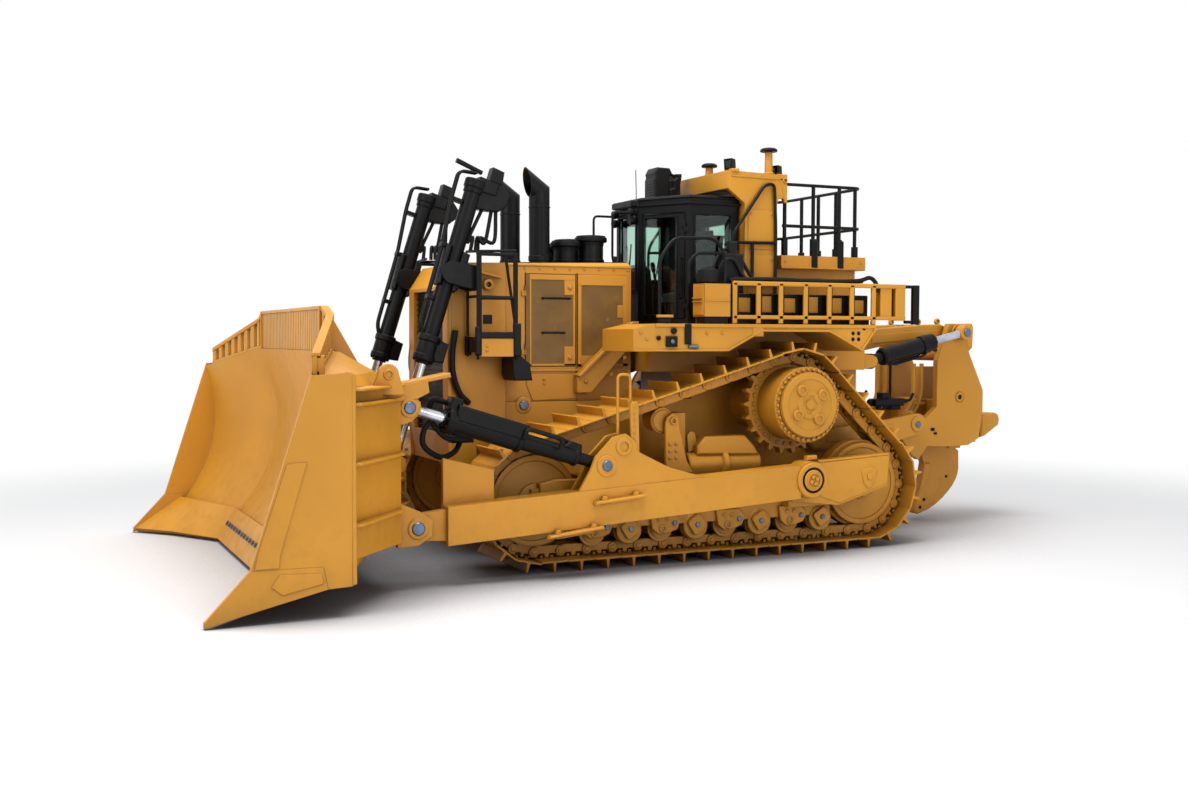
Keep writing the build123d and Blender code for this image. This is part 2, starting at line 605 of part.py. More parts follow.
with BuildPart() as cab_shell:
    plan_prism(CAB_PLAN, CAB_FLOOR, CAB_TOP - 90)
    with BuildSketch(Plane.XY.offset(CAB_FLOOR + 60)):
        with BuildLine():
            Polyline(*CAB_PLAN, close=True)
        make_face()
        offset(amount=-CAB_WALL, kind=Kind.INTERSECTION)
    extrude(amount=CAB_TOP, mode=Mode.SUBTRACT)
    # windscreen, rear window, side windows and the two door openings
    block((-CAB_FRONT_HALF + 70, CAB_FRONT_HALF - 70), (CAB_FRONT_Y - 10, CAB_FRONT_Y + 100),
          (3150, CAB_TOP - 200), mode=Mode.SUBTRACT)
    block((-620, 620), (CAB_REAR_Y - 100, CAB_REAR_Y + 10), (3280, CAB_TOP - 220), mode=Mode.SUBTRACT)
    block((-CAB_WIDE_HALF - 10, CAB_WIDE_HALF + 10), (B_PILLAR_Y + 90, CAB_STEP_Y - 90),
          (3260, CAB_TOP - 220), mode=Mode.SUBTRACT)
    for sign in (-1, 1):
        with BuildSketch(door_plane(sign).offset(10)):
            with Locations((DOOR_RUN / 2 + DOOR_SHIFT,
                            sign * ((CAB_DOOR_TOP + CAB_DOOR_BOTTOM) / 2 - CAB_FLOOR))):
                Rectangle(DOOR_RUN - 108, CAB_DOOR_TOP - CAB_DOOR_BOTTOM)
        extrude(amount=-120, mode=Mode.SUBTRACT)
        for z in CAB_HINGE_HEIGHTS:
            hinge_leaf(cab_hinge_axis(sign), door_direction(sign), door_outward(sign), z, z + HINGE_BARREL, 1)
cab_shell.part.label = "cab_shell"
export_step(cab_shell.part, "parts/cab_shell.step")

with BuildPart() as cab_roof:
    with BuildSketch(Plane.XY.offset(CAB_TOP - 90 + SEAT_GAP)):
        with BuildLine():
            Polyline(*CAB_PLAN, close=True)
        make_face()
    extrude(amount=110)
    fillet(cab_roof.edges().group_by(Axis.Z)[-1], 40)
cab_roof.part.label = "cab_roof"
export_step(cab_roof.part, "parts/cab_roof.step")

with BuildPart() as cab_windows:
    block((-CAB_FRONT_HALF + 70.3, CAB_FRONT_HALF - 70.3), (CAB_FRONT_Y + 20, CAB_FRONT_Y + 28),
          (3150.3, CAB_TOP - 200.3))
    block((-619.7, 619.7), (CAB_REAR_Y - 30, CAB_REAR_Y - 22), (3280.3, CAB_TOP - 220.3))
    for sign in (-1, 1):
        block(sorted((sign * (CAB_WIDE_HALF - 30), sign * (CAB_WIDE_HALF - 22))),
              (B_PILLAR_Y + 90.3, CAB_STEP_Y - 90.3), (3260.3, CAB_TOP - 220.3))
cab_windows.part.label = "cab_windows"
export_step(cab_windows.part, "parts/cab_windows.step")

for side, sign in SIDES:
    door_height = CAB_DOOR_TOP - CAB_DOOR_BOTTOM - 12
    door_middle = (DOOR_RUN / 2 + DOOR_SHIFT, sign * ((CAB_DOOR_TOP + CAB_DOOR_BOTTOM) / 2 - CAB_FLOOR))
    pane_middle = (DOOR_RUN / 2 - PANE_SHIFT, door_middle[1])
    with BuildPart() as cab_door:
        with BuildSketch(door_plane(sign)):
            with Locations(door_middle):
                Rectangle(DOOR_RUN - 120, door_height)
            with Locations(pane_middle):
                Rectangle(DOOR_RUN - 258, door_height - 90, mode=Mode.SUBTRACT)
        extrude(amount=-CAB_WALL + 10)
        backward = (-door_direction(sign)[0], -door_direction(sign)[1])
        for z in CAB_HINGE_HEIGHTS:
            hinge_leaf(cab_hinge_axis(sign), backward, door_outward(sign), z + HINGE_BARREL + SEAT_GAP,
                       z + 2 * HINGE_BARREL, 12)
    cab_door.part.label = f"cab_door_{side}"
    export_step(cab_door.part, f"parts/cab_door_{side}.step")

    with BuildPart() as door_glass:
        with BuildSketch(door_plane(sign).offset(-20)):
            with Locations(pane_middle):
                Rectangle(DOOR_RUN - 258.6, door_height - 90.6)
        extrude(amount=-8)
    door_glass.part.label = f"door_glass_{side}"
    export_step(door_glass.part, f"parts/door_glass_{side}.step")

with BuildPart() as operator_seat:
    block((-270, 270), (560, 1060), (CAB_FLOOR + 60 + SEAT_GAP, CAB_FLOOR + 420))
    prism(((960, CAB_FLOOR + 400), (1080, CAB_FLOOR + 400), (1180, CAB_FLOOR + 1080),
           (1070, CAB_FLOOR + 1080)), -250, 250)
    for sign in (-1, 1):
        block(sorted((sign * 300, sign * 420)), (520, 1010), (CAB_FLOOR + 60 + SEAT_GAP, CAB_FLOOR + 590))
        block(sorted((sign * 250, sign * 310)), (700, 900), (CAB_FLOOR + 200, CAB_FLOOR + 300))
operator_seat.part.label = "operator_seat"
export_step(operator_seat.part, "parts/operator_seat.step")

with BuildPart() as dash_console:
    prism(((90, CAB_FLOOR + 60 + SEAT_GAP), (230, CAB_FLOOR + 60 + SEAT_GAP), (200, CAB_FLOOR + 620),
           (120, CAB_FLOOR + 760), (90, CAB_FLOOR + 740)), -220, 220)
dash_console.part.label = "dash_console"
export_step(dash_console.part, "parts/dash_console.step")

with BuildPart() as rops:
    half = ROPS_HALF_WIDTH
    prism(((ROPS_FRONT_Y, ROPS_TOP - 215), (ROPS_FRONT_Y, ROPS_TOP), (ROPS_REAR_Y, ROPS_TOP - 20),
           (ROPS_REAR_Y, ROPS_TOP - 225)), -half, half)
    for sign in (-1, 1):
        block(sorted((sign * (CAB_REAR_HALF + 20), sign * half)), (ROPS_POST_FRONT_Y, ROPS_POST_REAR_Y),
              (DECK_TOP + SEAT_GAP, ROPS_TOP - 215))
        # side plate that stiffens the joint of the roof and its post
        prism(((ROPS_FRONT_Y, ROPS_TOP - 210), (ROPS_POST_FRONT_Y, ROPS_TOP - 385),
               (ROPS_POST_REAR_Y, ROPS_TOP - 385), (ROPS_POST_REAR_Y + 25, ROPS_TOP - 305),
               (ROPS_REAR_Y, ROPS_TOP - 305), (ROPS_REAR_Y, ROPS_TOP - 210)),
              *sorted((sign * (half - ROPS_SIDE_PLATE), sign * half)))
rops.part.label = "rops"
export_step(rops.part, "parts/rops.step")

with BuildPart() as roof_unit:
    block((-150, 150), (280, 680), (CAB_TOP + 20 + SEAT_GAP, ROOF_UNIT_TOP))
roof_unit.part.label = "roof_unit"
export_step(roof_unit.part, "parts/roof_unit.step")

with BuildPart() as breathers:
    for x, y, height in ((450, 890, 170), (950, 1440, 330)):
        with BuildSketch(Plane.XY.offset(ROPS_TOP - 40)):
            with Locations((x, y)):
                Circle(45)
        extrude(amount=height + 30)
        with BuildSketch(Plane.XY.offset(ROPS_TOP - 10 + height - 50)):
            with Locations((x, y)):
                Circle(80)
        extrude(amount=60)
    prism(((ROPS_FRONT_Y, ROPS_TOP - 300), (ROPS_FRONT_Y, ROPS_TOP + SEAT_GAP),
           (ROPS_REAR_Y, ROPS_TOP - 20 + SEAT_GAP), (ROPS_REAR_Y, ROPS_TOP - 300)),
          -ROPS_HALF_WIDTH, ROPS_HALF_WIDTH, mode=Mode.SUBTRACT)
breathers.part.label = "breathers"
export_step(breathers.part, "parts/breathers.step")

# ================================================================ decks, tank and rails
with BuildPart() as decks:
    for sign in (-1, 1):
        prism(((-830, 2390), (-830, 2640), (-560, DECK_TOP), (DECK_REAR_Y, DECK_TOP), (DECK_REAR_Y - 20, 2620),
               (2233, 2385), (1760, 2615), (830, 2615), (380, 2390)),
              *sorted((sign * DECK_INNER_X, sign * DECK_OUTER_X)))
decks.part.label = "decks"
export_step(decks.part, "parts/decks.step")

with BuildPart() as cab_base:
    block((-DECK_INNER_X + SEAT_GAP, DECK_INNER_X - SEAT_GAP), (-230, TANK_REAR_Y),
          (CASE_TOP + SEAT_GAP, DECK_TOP))
    block((-640, 640), (-240, 530), (CASE_TOP, 2500), mode=Mode.SUBTRACT)
cab_base.part.label = "cab_base"
export_step(cab_base.part, "parts/cab_base.step")

with BuildPart() as fuel_tank:
    prism(((TANK_FRONT_Y, DECK_TOP + SEAT_GAP), (TANK_REAR_Y - 120, DECK_TOP + SEAT_GAP),
           (TANK_REAR_Y - 60, DECK_TOP + 200), (TANK_REAR_Y - 60, TANK_STEP_Z + 1), (TANK_FRONT_Y, TANK_STEP_Z + 1)),
          140 - TANK_HALF_WIDTH, TANK_HALF_WIDTH - 140)
    block((-TANK_HALF_WIDTH, TANK_HALF_WIDTH), (TANK_FRONT_Y, TANK_REAR_Y), (TANK_STEP_Z, TANK_TOP))
fuel_tank.part.label = "fuel_tank"
export_step(fuel_tank.part, "parts/fuel_tank.step")

with BuildPart() as rear_rails:
    half = REAR_RAIL_HALF_WIDTH
    for z in (REAR_RAIL_MIDDLE, REAR_RAIL_HEIGHT):
        tube_path(((-half, ROPS_REAR_Y + SEAT_GAP, z), (-half, REAR_RAIL_Y, z), (half, REAR_RAIL_Y, z),
                   (half, ROPS_REAR_Y + SEAT_GAP, z)), RAIL_RADIUS, 120)
    front_post_y = ROPS_REAR_Y + RAIL_RADIUS + 10
    for x, y in ((-half, front_post_y), (-half, 2090), (-half, 2480), (-820, REAR_RAIL_Y),
                 (-400, REAR_RAIL_Y), (0, REAR_RAIL_Y), (400, REAR_RAIL_Y), (820, REAR_RAIL_Y), (half, 2480),
                 (half, 2090), (half, front_post_y)):
        rod((x, y, TANK_TOP + SEAT_GAP), (x, y, REAR_RAIL_HEIGHT), RAIL_RADIUS + 4)
    for sign in (-1, 1):
        # guard that stands behind each deck's railing
        x = sign * BASKET_X
        for z in (DECK_TOP + 40, BASKET_TOP - 20):
            rod((x, BASKET_REAR_Y + SEAT_GAP, z), (x, 3040, z), RAIL_RADIUS)
        block((x - 25, x + 25), (3000, 3090), (DECK_TOP + 10, BASKET_TOP))
rear_rails.part.label = "rear_rails"
export_step(rear_rails.part, "parts/rear_rails.step")

with BuildPart() as side_rails:
    for sign in (-1, 1):
        x = sign * BASKET_X
        for z in (DECK_TOP + 70, BASKET_TOP - 20):
            block((x - 30, x + 30), (450, BASKET_REAR_Y), (z - 20, z + 20))
        for y in (476, 792, 1096, 1439, 1772, 2094):
            block((x - 25, x + 25), (y - 25, y + 25), (DECK_TOP + SEAT_GAP, BASKET_TOP - 10))
        block((x - 25, x + 25), (2390, 2440), (DECK_TOP + SEAT_GAP, BASKET_TOP - 10))
        # the railing reaches past the deck, round one closed box
        block((x - 25, x + 25), (2735, BASKET_REAR_Y), (DECK_TOP + 55, BASKET_TOP - 10))
        block((x - 200, x + 12), (2520, 2690), (DECK_TOP + 75, BASKET_TOP - 30))
side_rails.part.label = "side_rails"
export_step(side_rails.part, "parts/side_rails.step")

with BuildPart() as side_boxes:
    for sign in (-1, 1):
        block(sorted((sign * 1530, sign * 1800)), (75, 410), (DECK_TOP + 85, 3160))
        block(sorted((sign * 1550, sign * 1760)), (100, 405), (DECK_TOP + SEAT_GAP, DECK_TOP + 90))
        block(sorted((sign * 1300, sign * 1640)), (400, DECK_REAR_Y - 10), (DECK_TOP + SEAT_GAP, 3060))
side_boxes.part.label = "side_boxes"
export_step(side_boxes.part, "parts/side_boxes.step")

with BuildPart() as front_steps:
    for sign in (-1, 1):
        x_in = sign * (GUARD_HALF_WIDTH + SEAT_GAP)
        x_out = sign * 1130
        block(sorted((x_in, x_out)), (-2410, -1940), (2380, 2540))
        for y in (-2380, -1960):
            rod((x_out, y, 2350), (x_out, y, 3480), RAIL_RADIUS + 4)
        for z in (2980, 3460):
            rod((x_out, -2400, z), (x_out, -1940, z), RAIL_RADIUS)
front_steps.part.label = "front_steps"
export_step(front_steps.part, "parts/front_steps.step")

with BuildPart() as hood_braces:
    for sign in (-1, 1):
        x_in = sign * (HOOD_HALF_WIDTH + SEAT_GAP)
        prism(((-1040, 1900), (-860, 1900), (-240, 2560), (-240, 2700), (-330, 2700), (-1040, 2080)),
              *sorted((x_in, x_in + sign * 110)))
hood_braces.part.label = "hood_braces"
export_step(hood_braces.part, "parts/hood_braces.step")

# ================================================================ push arms
for side, sign in SIDES:
    arm_low, arm_high = sorted((sign * (ARM_X - ARM_WIDTH / 2), sign * (ARM_X + ARM_WIDTH / 2)))
    with BuildPart() as push_arm:
        prism(((ARM_FRONT_Y, 425), (1150, 700), (1150, 1080), (ARM_FRONT_Y, 823)), arm_low, arm_high)
        disc(arm_low, arm_high, TRUNNION, 215)
        disc(arm_low - 1, arm_high + 1, TRUNNION, TRUNNION_RADIUS + PIN_GAP, mode=Mode.SUBTRACT)
        # tongue into the blade's lug
        tongue_low, tongue_high = sign * ARM_X - 62, sign * ARM_X + 62
        prism(((ARM_PIN[0], ARM_PIN[1] - 130), (ARM_FRONT_Y + 10, 470), (ARM_FRONT_Y + 10, 790),
               (ARM_PIN[0], ARM_PIN[1] + 130)), tongue_low, tongue_high)
        disc(tongue_low, tongue_high, ARM_PIN, 130)
        disc(tongue_low - 1, tongue_high + 1, ARM_PIN, ARM_PIN_RADIUS + PIN_GAP, mode=Mode.SUBTRACT)
        # bracket for the tilt cylinder: two cheeks and their pin
        for cheek in (-1, 1):
            low, high = sorted((sign * ARM_X + cheek * 72, sign * ARM_X + cheek * 112))
            prism(((-1640, 900), (-1500, 1130), (-1440, 1270), (-1230, 1480), (-1080, 1510),
                   (-980, 1440), (-930, 1310), (-560, 1130), (-100, 1000)), low, high)
        disc(sign * ARM_X - 112, sign * ARM_X + 112, TILT_LOW_PIN, 62)
        # stone guard that stands on the arm in front of the tilt cylinder
        low, high = sorted((sign * (ARM_X - ARM_WIDTH / 2), sign * (ARM_X - ARM_WIDTH / 2 + 60)))
        prism(((-3080, 700), (-3080, 1300), (-2535, 1160), (-2535, 780)), low, high)
    push_arm.part.label = f"push_arm_{side}"
    export_step(push_arm.part, f"parts/push_arm_{side}.step")

MOUNT_REAR_Y = BEAM_REAR_Y - YOKE_LAP - MOUNT_YOKE_ROOM
with BuildPart() as arm_mounts:
    for sign in (-1, 1):
        plate_inner = sign * (ARM_X - ARM_WIDTH / 2 - 90)
        plate_outer = sign * (ARM_X - ARM_WIDTH / 2 - 15)
        prism(((1200, 640), (1850, 560), (2560, 760), (2590, 1130), (1280, 1060)),
              *sorted((plate_inner, plate_outer)))
        block(sorted((sign * (TRACK_X + 240 + SEAT_GAP), plate_inner)), (1200, MOUNT_REAR_Y), (560, 1000))
        block(sorted((sign * (TRACK_X + ROLLER_FRAME_HALF_WIDTH + SEAT_GAP), sign * (TRACK_X + 241))),
              (1200, MOUNT_REAR_Y), (660, 1000))
        disc(*sorted((plate_inner, sign * (ARM_X + ARM_WIDTH / 2 + 2))), TRUNNION, TRUNNION_RADIUS)
        disc(*sorted((sign * (ARM_X + ARM_WIDTH / 2), sign * (ARM_X + ARM_WIDTH / 2 + 22))), TRUNNION,
             TRUNNION_RADIUS - 20)
arm_mounts.part.label = "arm_mounts"
export_step(arm_mounts.part, "parts/arm_mounts.step")

# ================================================================ blade
# Stations from the centre section to the end plate.  Points are (y, z): top, middle and foot of the
# curved face, the tip of the cutting edge below it, then the points round the bottom, back and top.
BLADE_BACK_Y = -3600
BLADE_STATIONS = (
    dict(x=BLADE_JOINT_X, top=(-4250, 2405), middle=(-4030, 1460), foot=(-4500, 400), tip=(-4720, 20),
         rest=((-4400, 190), (-3760, 420), (BLADE_BACK_Y, 640), (BLADE_BACK_Y, 2040), (-3760, 2200),
               (-4120, 2400))),
    dict(x=BLADE_HALF_WIDTH - EDGE_JOINT_INSET, top=(-4531, 2258), middle=(-4380, 1441), foot=(-4819, 400),
         tip=(-5188, 20), rest=((-4750, 200), (-4172, 340), (-4056, 502), (-4056, 2078), (-4160, 2188),
                                (-4408, 2250))),
    dict(x=BLADE_HALF_WIDTH - END_PLATE, top=(-4700, 2170), middle=(-4590, 1430), foot=(-5010, 400),
         tip=(-5585, 12), rest=((-4900, 210), (-4420, 290), (-4330, 420), (-4330, 2100), (-4400, 2180),
                                (-4580, 2165))),
)
EDGE_THICKNESS = 55
EDGE_SEAT_SHARE = 0.5


def edge_seat(station):
    """Where the blade's own front face stops behind its cutting edge."""
    foot, tip = station["foot"], station["tip"]
    return (foot[0] + (tip[0] - foot[0]) * EDGE_SEAT_SHARE, foot[1] + (tip[1] - foot[1]) * EDGE_SEAT_SHARE)


def blade_section(station, sign):
    """Face of the blade at one station."""
    with BuildSketch(Plane.YZ.offset(sign * station["x"]), mode=Mode.PRIVATE) as face:
        with BuildLine():
            ThreePointArc(station["top"], station["middle"], station["foot"])
            Polyline(station["foot"], edge_seat(station), *station["rest"], station["top"])
        make_face()
    return face.sketch


def edge_section(station, sign):
    """Face of the cutting edge at one station."""
    foot, tip = station["foot"], station["tip"]
    (down_y, down_z), _ = unit(foot, tip)
    forward = (down_z * EDGE_THICKNESS, -down_y * EDGE_THICKNESS)
    with BuildSketch(Plane.YZ.offset(sign * station["x"]), mode=Mode.PRIVATE) as face:
        with BuildLine():
            Polyline(foot, tip, (tip[0] + forward[0], tip[1] + forward[1]),
                     (foot[0] + forward[0], foot[1] + forward[1]), close=True)
        make_face()
    return face.sketch


with BuildPart() as blade:
    extrude(blade_section(BLADE_STATIONS[0], -1), amount=2 * BLADE_JOINT_X)
    for sign in (-1, 1):
        for inner, outer in zip(BLADE_STATIONS, BLADE_STATIONS[1:]):
            loft([blade_section(inner, sign), blade_section(outer, sign)], ruled=True)
        plan_prism(((sign * 1700, -4000), (sign * 1700, BLADE_BACK_Y), (sign * 2230, BLADE_BACK_Y),
                    (sign * (BLADE_HALF_WIDTH - 139), -4290), (sign * (BLADE_HALF_WIDTH - 279), -4400)),
                   500, 2060)
        prism(((-4690, 2200), (-4320, 2225), (-4330, 285), (-4550, 275), (-4590, 480), (-5235, 490)),
              *sorted((sign * (BLADE_HALF_WIDTH - END_PLATE), sign * BLADE_END_X)))
        # wear plate up the front edge of the end
        prism(((-4912, 1420), (-4735, 1430), (-4980, 610), (-4990, 500), (-5205, 500), (-5170, 640)),
              *sorted((sign * (BLADE_END_X - 1), sign * BLADE_HALF_WIDTH)))
        # lugs for the push arm and the tilt cylinder
        for cheek in (-1, 1):
            low, high = sorted((sign * ARM_X + cheek * 66, sign * ARM_X + cheek * 121))
            prism(((-3620, 440), (-3400, 450), (-3260, 540), (-3250, 700), (-3400, 800), (-3620, 900)),
                  low, high)
            low, high = sorted((sign * ARM_X + cheek * 70, sign * ARM_X + cheek * 115))
            prism(((-3620, 1660), (-3470, 1700), (-3370, 1790), (-3370, 1890), (-3440, 1960),
                   (-3620, 2030)), low, high)
        disc(sign * ARM_X - 121, sign * ARM_X + 121, ARM_PIN, ARM_PIN_RADIUS)
blade.part.label = "blade"
export_step(blade.part, "parts/blade.step")

with BuildPart() as lift_lugs:
    for sign in (-1, 1):
        for cheek in (-1, 1):
            low, high = sorted((sign * LIFT_X + cheek * 66, sign * LIFT_X + cheek * 116))
            prism(((BLADE_BACK_Y + SEAT_GAP, 960), (-3310, 1030), (-3190, 1100), (-3190, 1220), (-3310, 1290),
                   (BLADE_BACK_Y + SEAT_GAP, 1420)), low, high)
lift_lugs.part.label = "lift_lugs"
export_step(lift_lugs.part, "parts/lift_lugs.step")

with BuildPart() as cutting_edges:
    extrude(edge_section(BLADE_STATIONS[0], -1), amount=2 * BLADE_JOINT_X)
    for sign in (-1, 1):
        loft([edge_section(BLADE_STATIONS[0], sign), edge_section(BLADE_STATIONS[1], sign)], ruled=True)
cutting_edges.part.label = "cutting_edges"
export_step(cutting_edges.part, "parts/cutting_edges.step")

with BuildPart() as end_bits:
    for sign in (-1, 1):
        loft([edge_section(BLADE_STATIONS[1], sign), edge_section(BLADE_STATIONS[2], sign)], ruled=True)
        prism(((-5235, 489), (-4592, 479), (-4552, 274), (-5330, 90), (-OVERALL_HALF_LENGTH, 10),
               (-OVERALL_HALF_LENGTH, 60)),
              *sorted((sign * (BLADE_HALF_WIDTH - END_PLATE), sign * BLADE_END_X)))
end_bits.part.label = "end_bits"
export_step(end_bits.part, "parts/end_bits.step")

def guard_section(x, sign):
    """Face of the rock guard at one distance from the middle of the blade, seated on the blade's top."""
    inner, outer = BLADE_STATIONS[0], BLADE_STATIONS[0]
    for one, two in zip(BLADE_STATIONS, BLADE_STATIONS[1:]):
        if x > one["x"]:
            inner, outer = one, two
    share = max(0, x - inner["x"]) / max(1, outer["x"] - inner["x"])
    front = inner["top"][0] + (outer["top"][0] - inner["top"][0]) * share + 10
    foot = inner["top"][1] + (outer["top"][1] - inner["top"][1]) * share + SEAT_GAP
    slope = (GUARD_END_TOP - GUARD_TOP) / (BLADE_HALF_WIDTH - GUARD_END_INSET - GUARD_JOINT_X)
    top = GUARD_TOP + slope * (x - GUARD_JOINT_X)
    with BuildSketch(Plane.YZ.offset(sign * x), mode=Mode.PRIVATE) as face:
        with BuildLine():
            Polyline((front, foot), (front + GUARD_PLATE, foot), (front + GUARD_PLATE, top), (front, top),
                     close=True)
        make_face()
    return face.sketch


GUARD_STATIONS = (GUARD_JOINT_X, BLADE_STATIONS[0]["x"], BLADE_STATIONS[1]["x"],
                  BLADE_HALF_WIDTH - GUARD_END_INSET)
with BuildPart() as rock_guard:
    extrude(guard_section(GUARD_JOINT_X, -1), amount=2 * GUARD_JOINT_X)
    guard_foot = BLADE_STATIONS[0]["top"][1] + SEAT_GAP
    for sign in (-1, 1):
        for near, far in zip(GUARD_STATIONS, GUARD_STATIONS[1:]):
            loft([guard_section(near, sign), guard_section(far, sign)], ruled=True)
        prism(((-4240, guard_foot), (-4240, GUARD_TOP), (-4190, GUARD_TOP), (-3860, 2290),
               (-4110, guard_foot)),
              *sorted((sign * (GUARD_JOINT_X - 40), sign * GUARD_JOINT_X)))
rock_guard.part.label = "rock_guard"
export_step(rock_guard.part, "parts/rock_guard.step")

# ================================================================ blade cylinders
TILT_AXIS, TILT_LENGTH = unit(TILT_LOW_PIN, TILT_HIGH_PIN)
LIFT_AXIS, LIFT_LENGTH = unit(LIFT_TRUNNION, LIFT_EYE)


def along(x, start, axis, distance):
    """The (x, y, z) point at one distance along a cylinder's axis."""
    return (x, start[0] + axis[0] * distance, start[1] + axis[1] * distance)


with BuildPart() as tilt_barrels:
    for sign in (-1, 1):
        x = sign * ARM_X
        disc(x - 66, x + 66, TILT_LOW_PIN, 115)
        rod(along(x, TILT_LOW_PIN, TILT_AXIS, 90), along(x, TILT_LOW_PIN, TILT_AXIS, 330), 64)
        rod(along(x, TILT_LOW_PIN, TILT_AXIS, 320), along(x, TILT_LOW_PIN, TILT_AXIS, 1000), 92)
        rod(along(x, TILT_LOW_PIN, TILT_AXIS, 990),
            along(x, TILT_LOW_PIN, TILT_AXIS, TILT_BARREL_LENGTH - 90), TILT_BARREL_RADIUS)
        rod(along(x, TILT_LOW_PIN, TILT_AXIS, TILT_BARREL_LENGTH - 100),
            along(x, TILT_LOW_PIN, TILT_AXIS, TILT_BARREL_LENGTH), TILT_BARREL_RADIUS + 28)
        rod(along(x, TILT_LOW_PIN, TILT_AXIS, 1150), along(x, TILT_LOW_PIN, TILT_AXIS, 2000),
            TILT_ROD_RADIUS + ROD_GAP, mode=Mode.SUBTRACT)
        disc(x - 70, x + 70, TILT_LOW_PIN, 62 + PIN_GAP, mode=Mode.SUBTRACT)
tilt_barrels.part.label = "tilt_barrels"
export_step(tilt_barrels.part, "parts/tilt_barrels.step")

with BuildPart() as tilt_rods:
    for sign in (-1, 1):
        x = sign * ARM_X
        rod(along(x, TILT_LOW_PIN, TILT_AXIS, 1400), along(x, TILT_LOW_PIN, TILT_AXIS, TILT_LENGTH - 40),
            TILT_ROD_RADIUS)
        disc(x - 60, x + 60, TILT_HIGH_PIN, 95)
        disc(x - 61, x + 61, TILT_HIGH_PIN, 40, mode=Mode.SUBTRACT)
tilt_rods.part.label = "tilt_rods"
export_step(tilt_rods.part, "parts/tilt_rods.step")

with BuildPart() as lift_barrels:
    for sign in (-1, 1):
        x = sign * LIFT_X
        rod(along(x, LIFT_TRUNNION, LIFT_AXIS, -LIFT_HEAD_REACH),
            along(x, LIFT_TRUNNION, LIFT_AXIS, LIFT_GLAND_REACH - 10), LIFT_BARREL_RADIUS)
        rod(along(x, LIFT_TRUNNION, LIFT_AXIS, LIFT_GLAND_REACH - 240),
            along(x, LIFT_TRUNNION, LIFT_AXIS, LIFT_GLAND_REACH), LIFT_BARREL_RADIUS + 18)
        reach = LIFT_BARREL_RADIUS + LIFT_YOKE_GAP - SEAT_GAP
        disc(x - reach, x + reach, LIFT_TRUNNION, 62)
        rod(along(x, LIFT_TRUNNION, LIFT_AXIS, -LIFT_HEAD_REACH + 60),
            along(x, LIFT_TRUNNION, LIFT_AXIS, LIFT_GLAND_REACH + 10), LIFT_ROD_RADIUS + ROD_GAP,
            mode=Mode.SUBTRACT)
lift_barrels.part.label = "lift_barrels"
export_step(lift_barrels.part, "parts/lift_barrels.step")

with BuildPart() as lift_rods:
    for sign in (-1, 1):
        x = sign * LIFT_X
        rod(along(x, LIFT_TRUNNION, LIFT_AXIS, LIFT_LENGTH - 1950),
            along(x, LIFT_TRUNNION, LIFT_AXIS, LIFT_LENGTH - 40), LIFT_ROD_RADIUS)
        disc(x - 58, x + 58, LIFT_EYE, 92)
        disc(x - 59, x + 59, LIFT_EYE, 45, mode=Mode.SUBTRACT)
lift_rods.part.label = "lift_rods"
export_step(lift_rods.part, "parts/lift_rods.step")

# ================================================================ ripper
UPPER_FRONT_PIN = (UPPER_REAR_PIN[0] - LINK_REAR_PIN[0] + LINK_FRONT_PIN[0],
                   UPPER_REAR_PIN[1] - LINK_REAR_PIN[1] + LINK_FRONT_PIN[1])
LINK_X = 790
UPPER_X = 500
RIPPER_CYL_X = 800
RIPPER_EYE = UPPER_REAR_PIN
MOUNT_FACE_Y = 2930

with BuildPart() as ripper_mount:
    for sign in (-1, 1):
        disc(*sorted((sign * (FRAME_HALF_WIDTH + SEAT_GAP), sign * 740)), LINK_FRONT_PIN, 150)
        disc(*sorted((sign * 700, sign * (LINK_X + 50))), LINK_FRONT_PIN, RIPPER_PIN_RADIUS)
    block((-380, 380), (FRAME_REAR_Y + SEAT_GAP, 2990), (1500, 2300))
    block((-RIPPER_CYL_X - 110, RIPPER_CYL_X + 110), (TANK_REAR_Y + SEAT_GAP, MOUNT_FACE_Y),
          (CASE_TOP + SEAT_GAP, 2650))
    block((-380, 380), (TANK_REAR_Y + SEAT_GAP, 2990), (CASE_TOP + SEAT_GAP, 2300))
    for sign in (-1, 1):
        for cheek in (-1, 1):
            low, high = sorted((sign * UPPER_X + cheek * 66, sign * UPPER_X + cheek * 110))
            prism(((2920, 2290), (3110, 2350), (3140, 2450), (3060, 2560), (2920, 2600)), low, high)
            low, high = sorted((sign * RIPPER_CYL_X + cheek * 76, sign * RIPPER_CYL_X + cheek * 110))
            prism(((MOUNT_FACE_Y - 5, 2150), (3060, 2165), (3120, 2190), (3145, 2245), (3120, 2300), (3060, 2325),
                   (MOUNT_FACE_Y - 5, 2340)), low, high)
        disc(sign * RIPPER_CYL_X - 110, sign * RIPPER_CYL_X + 110, RIPPER_CYL_FRONT, RIPPER_PIN_RADIUS - 12)
        disc(sign * UPPER_X - 110, sign * UPPER_X + 110, UPPER_FRONT_PIN, RIPPER_PIN_RADIUS - 12)
ripper_mount.part.label = "ripper_mount"
export_step(ripper_mount.part, "parts/ripper_mount.step")

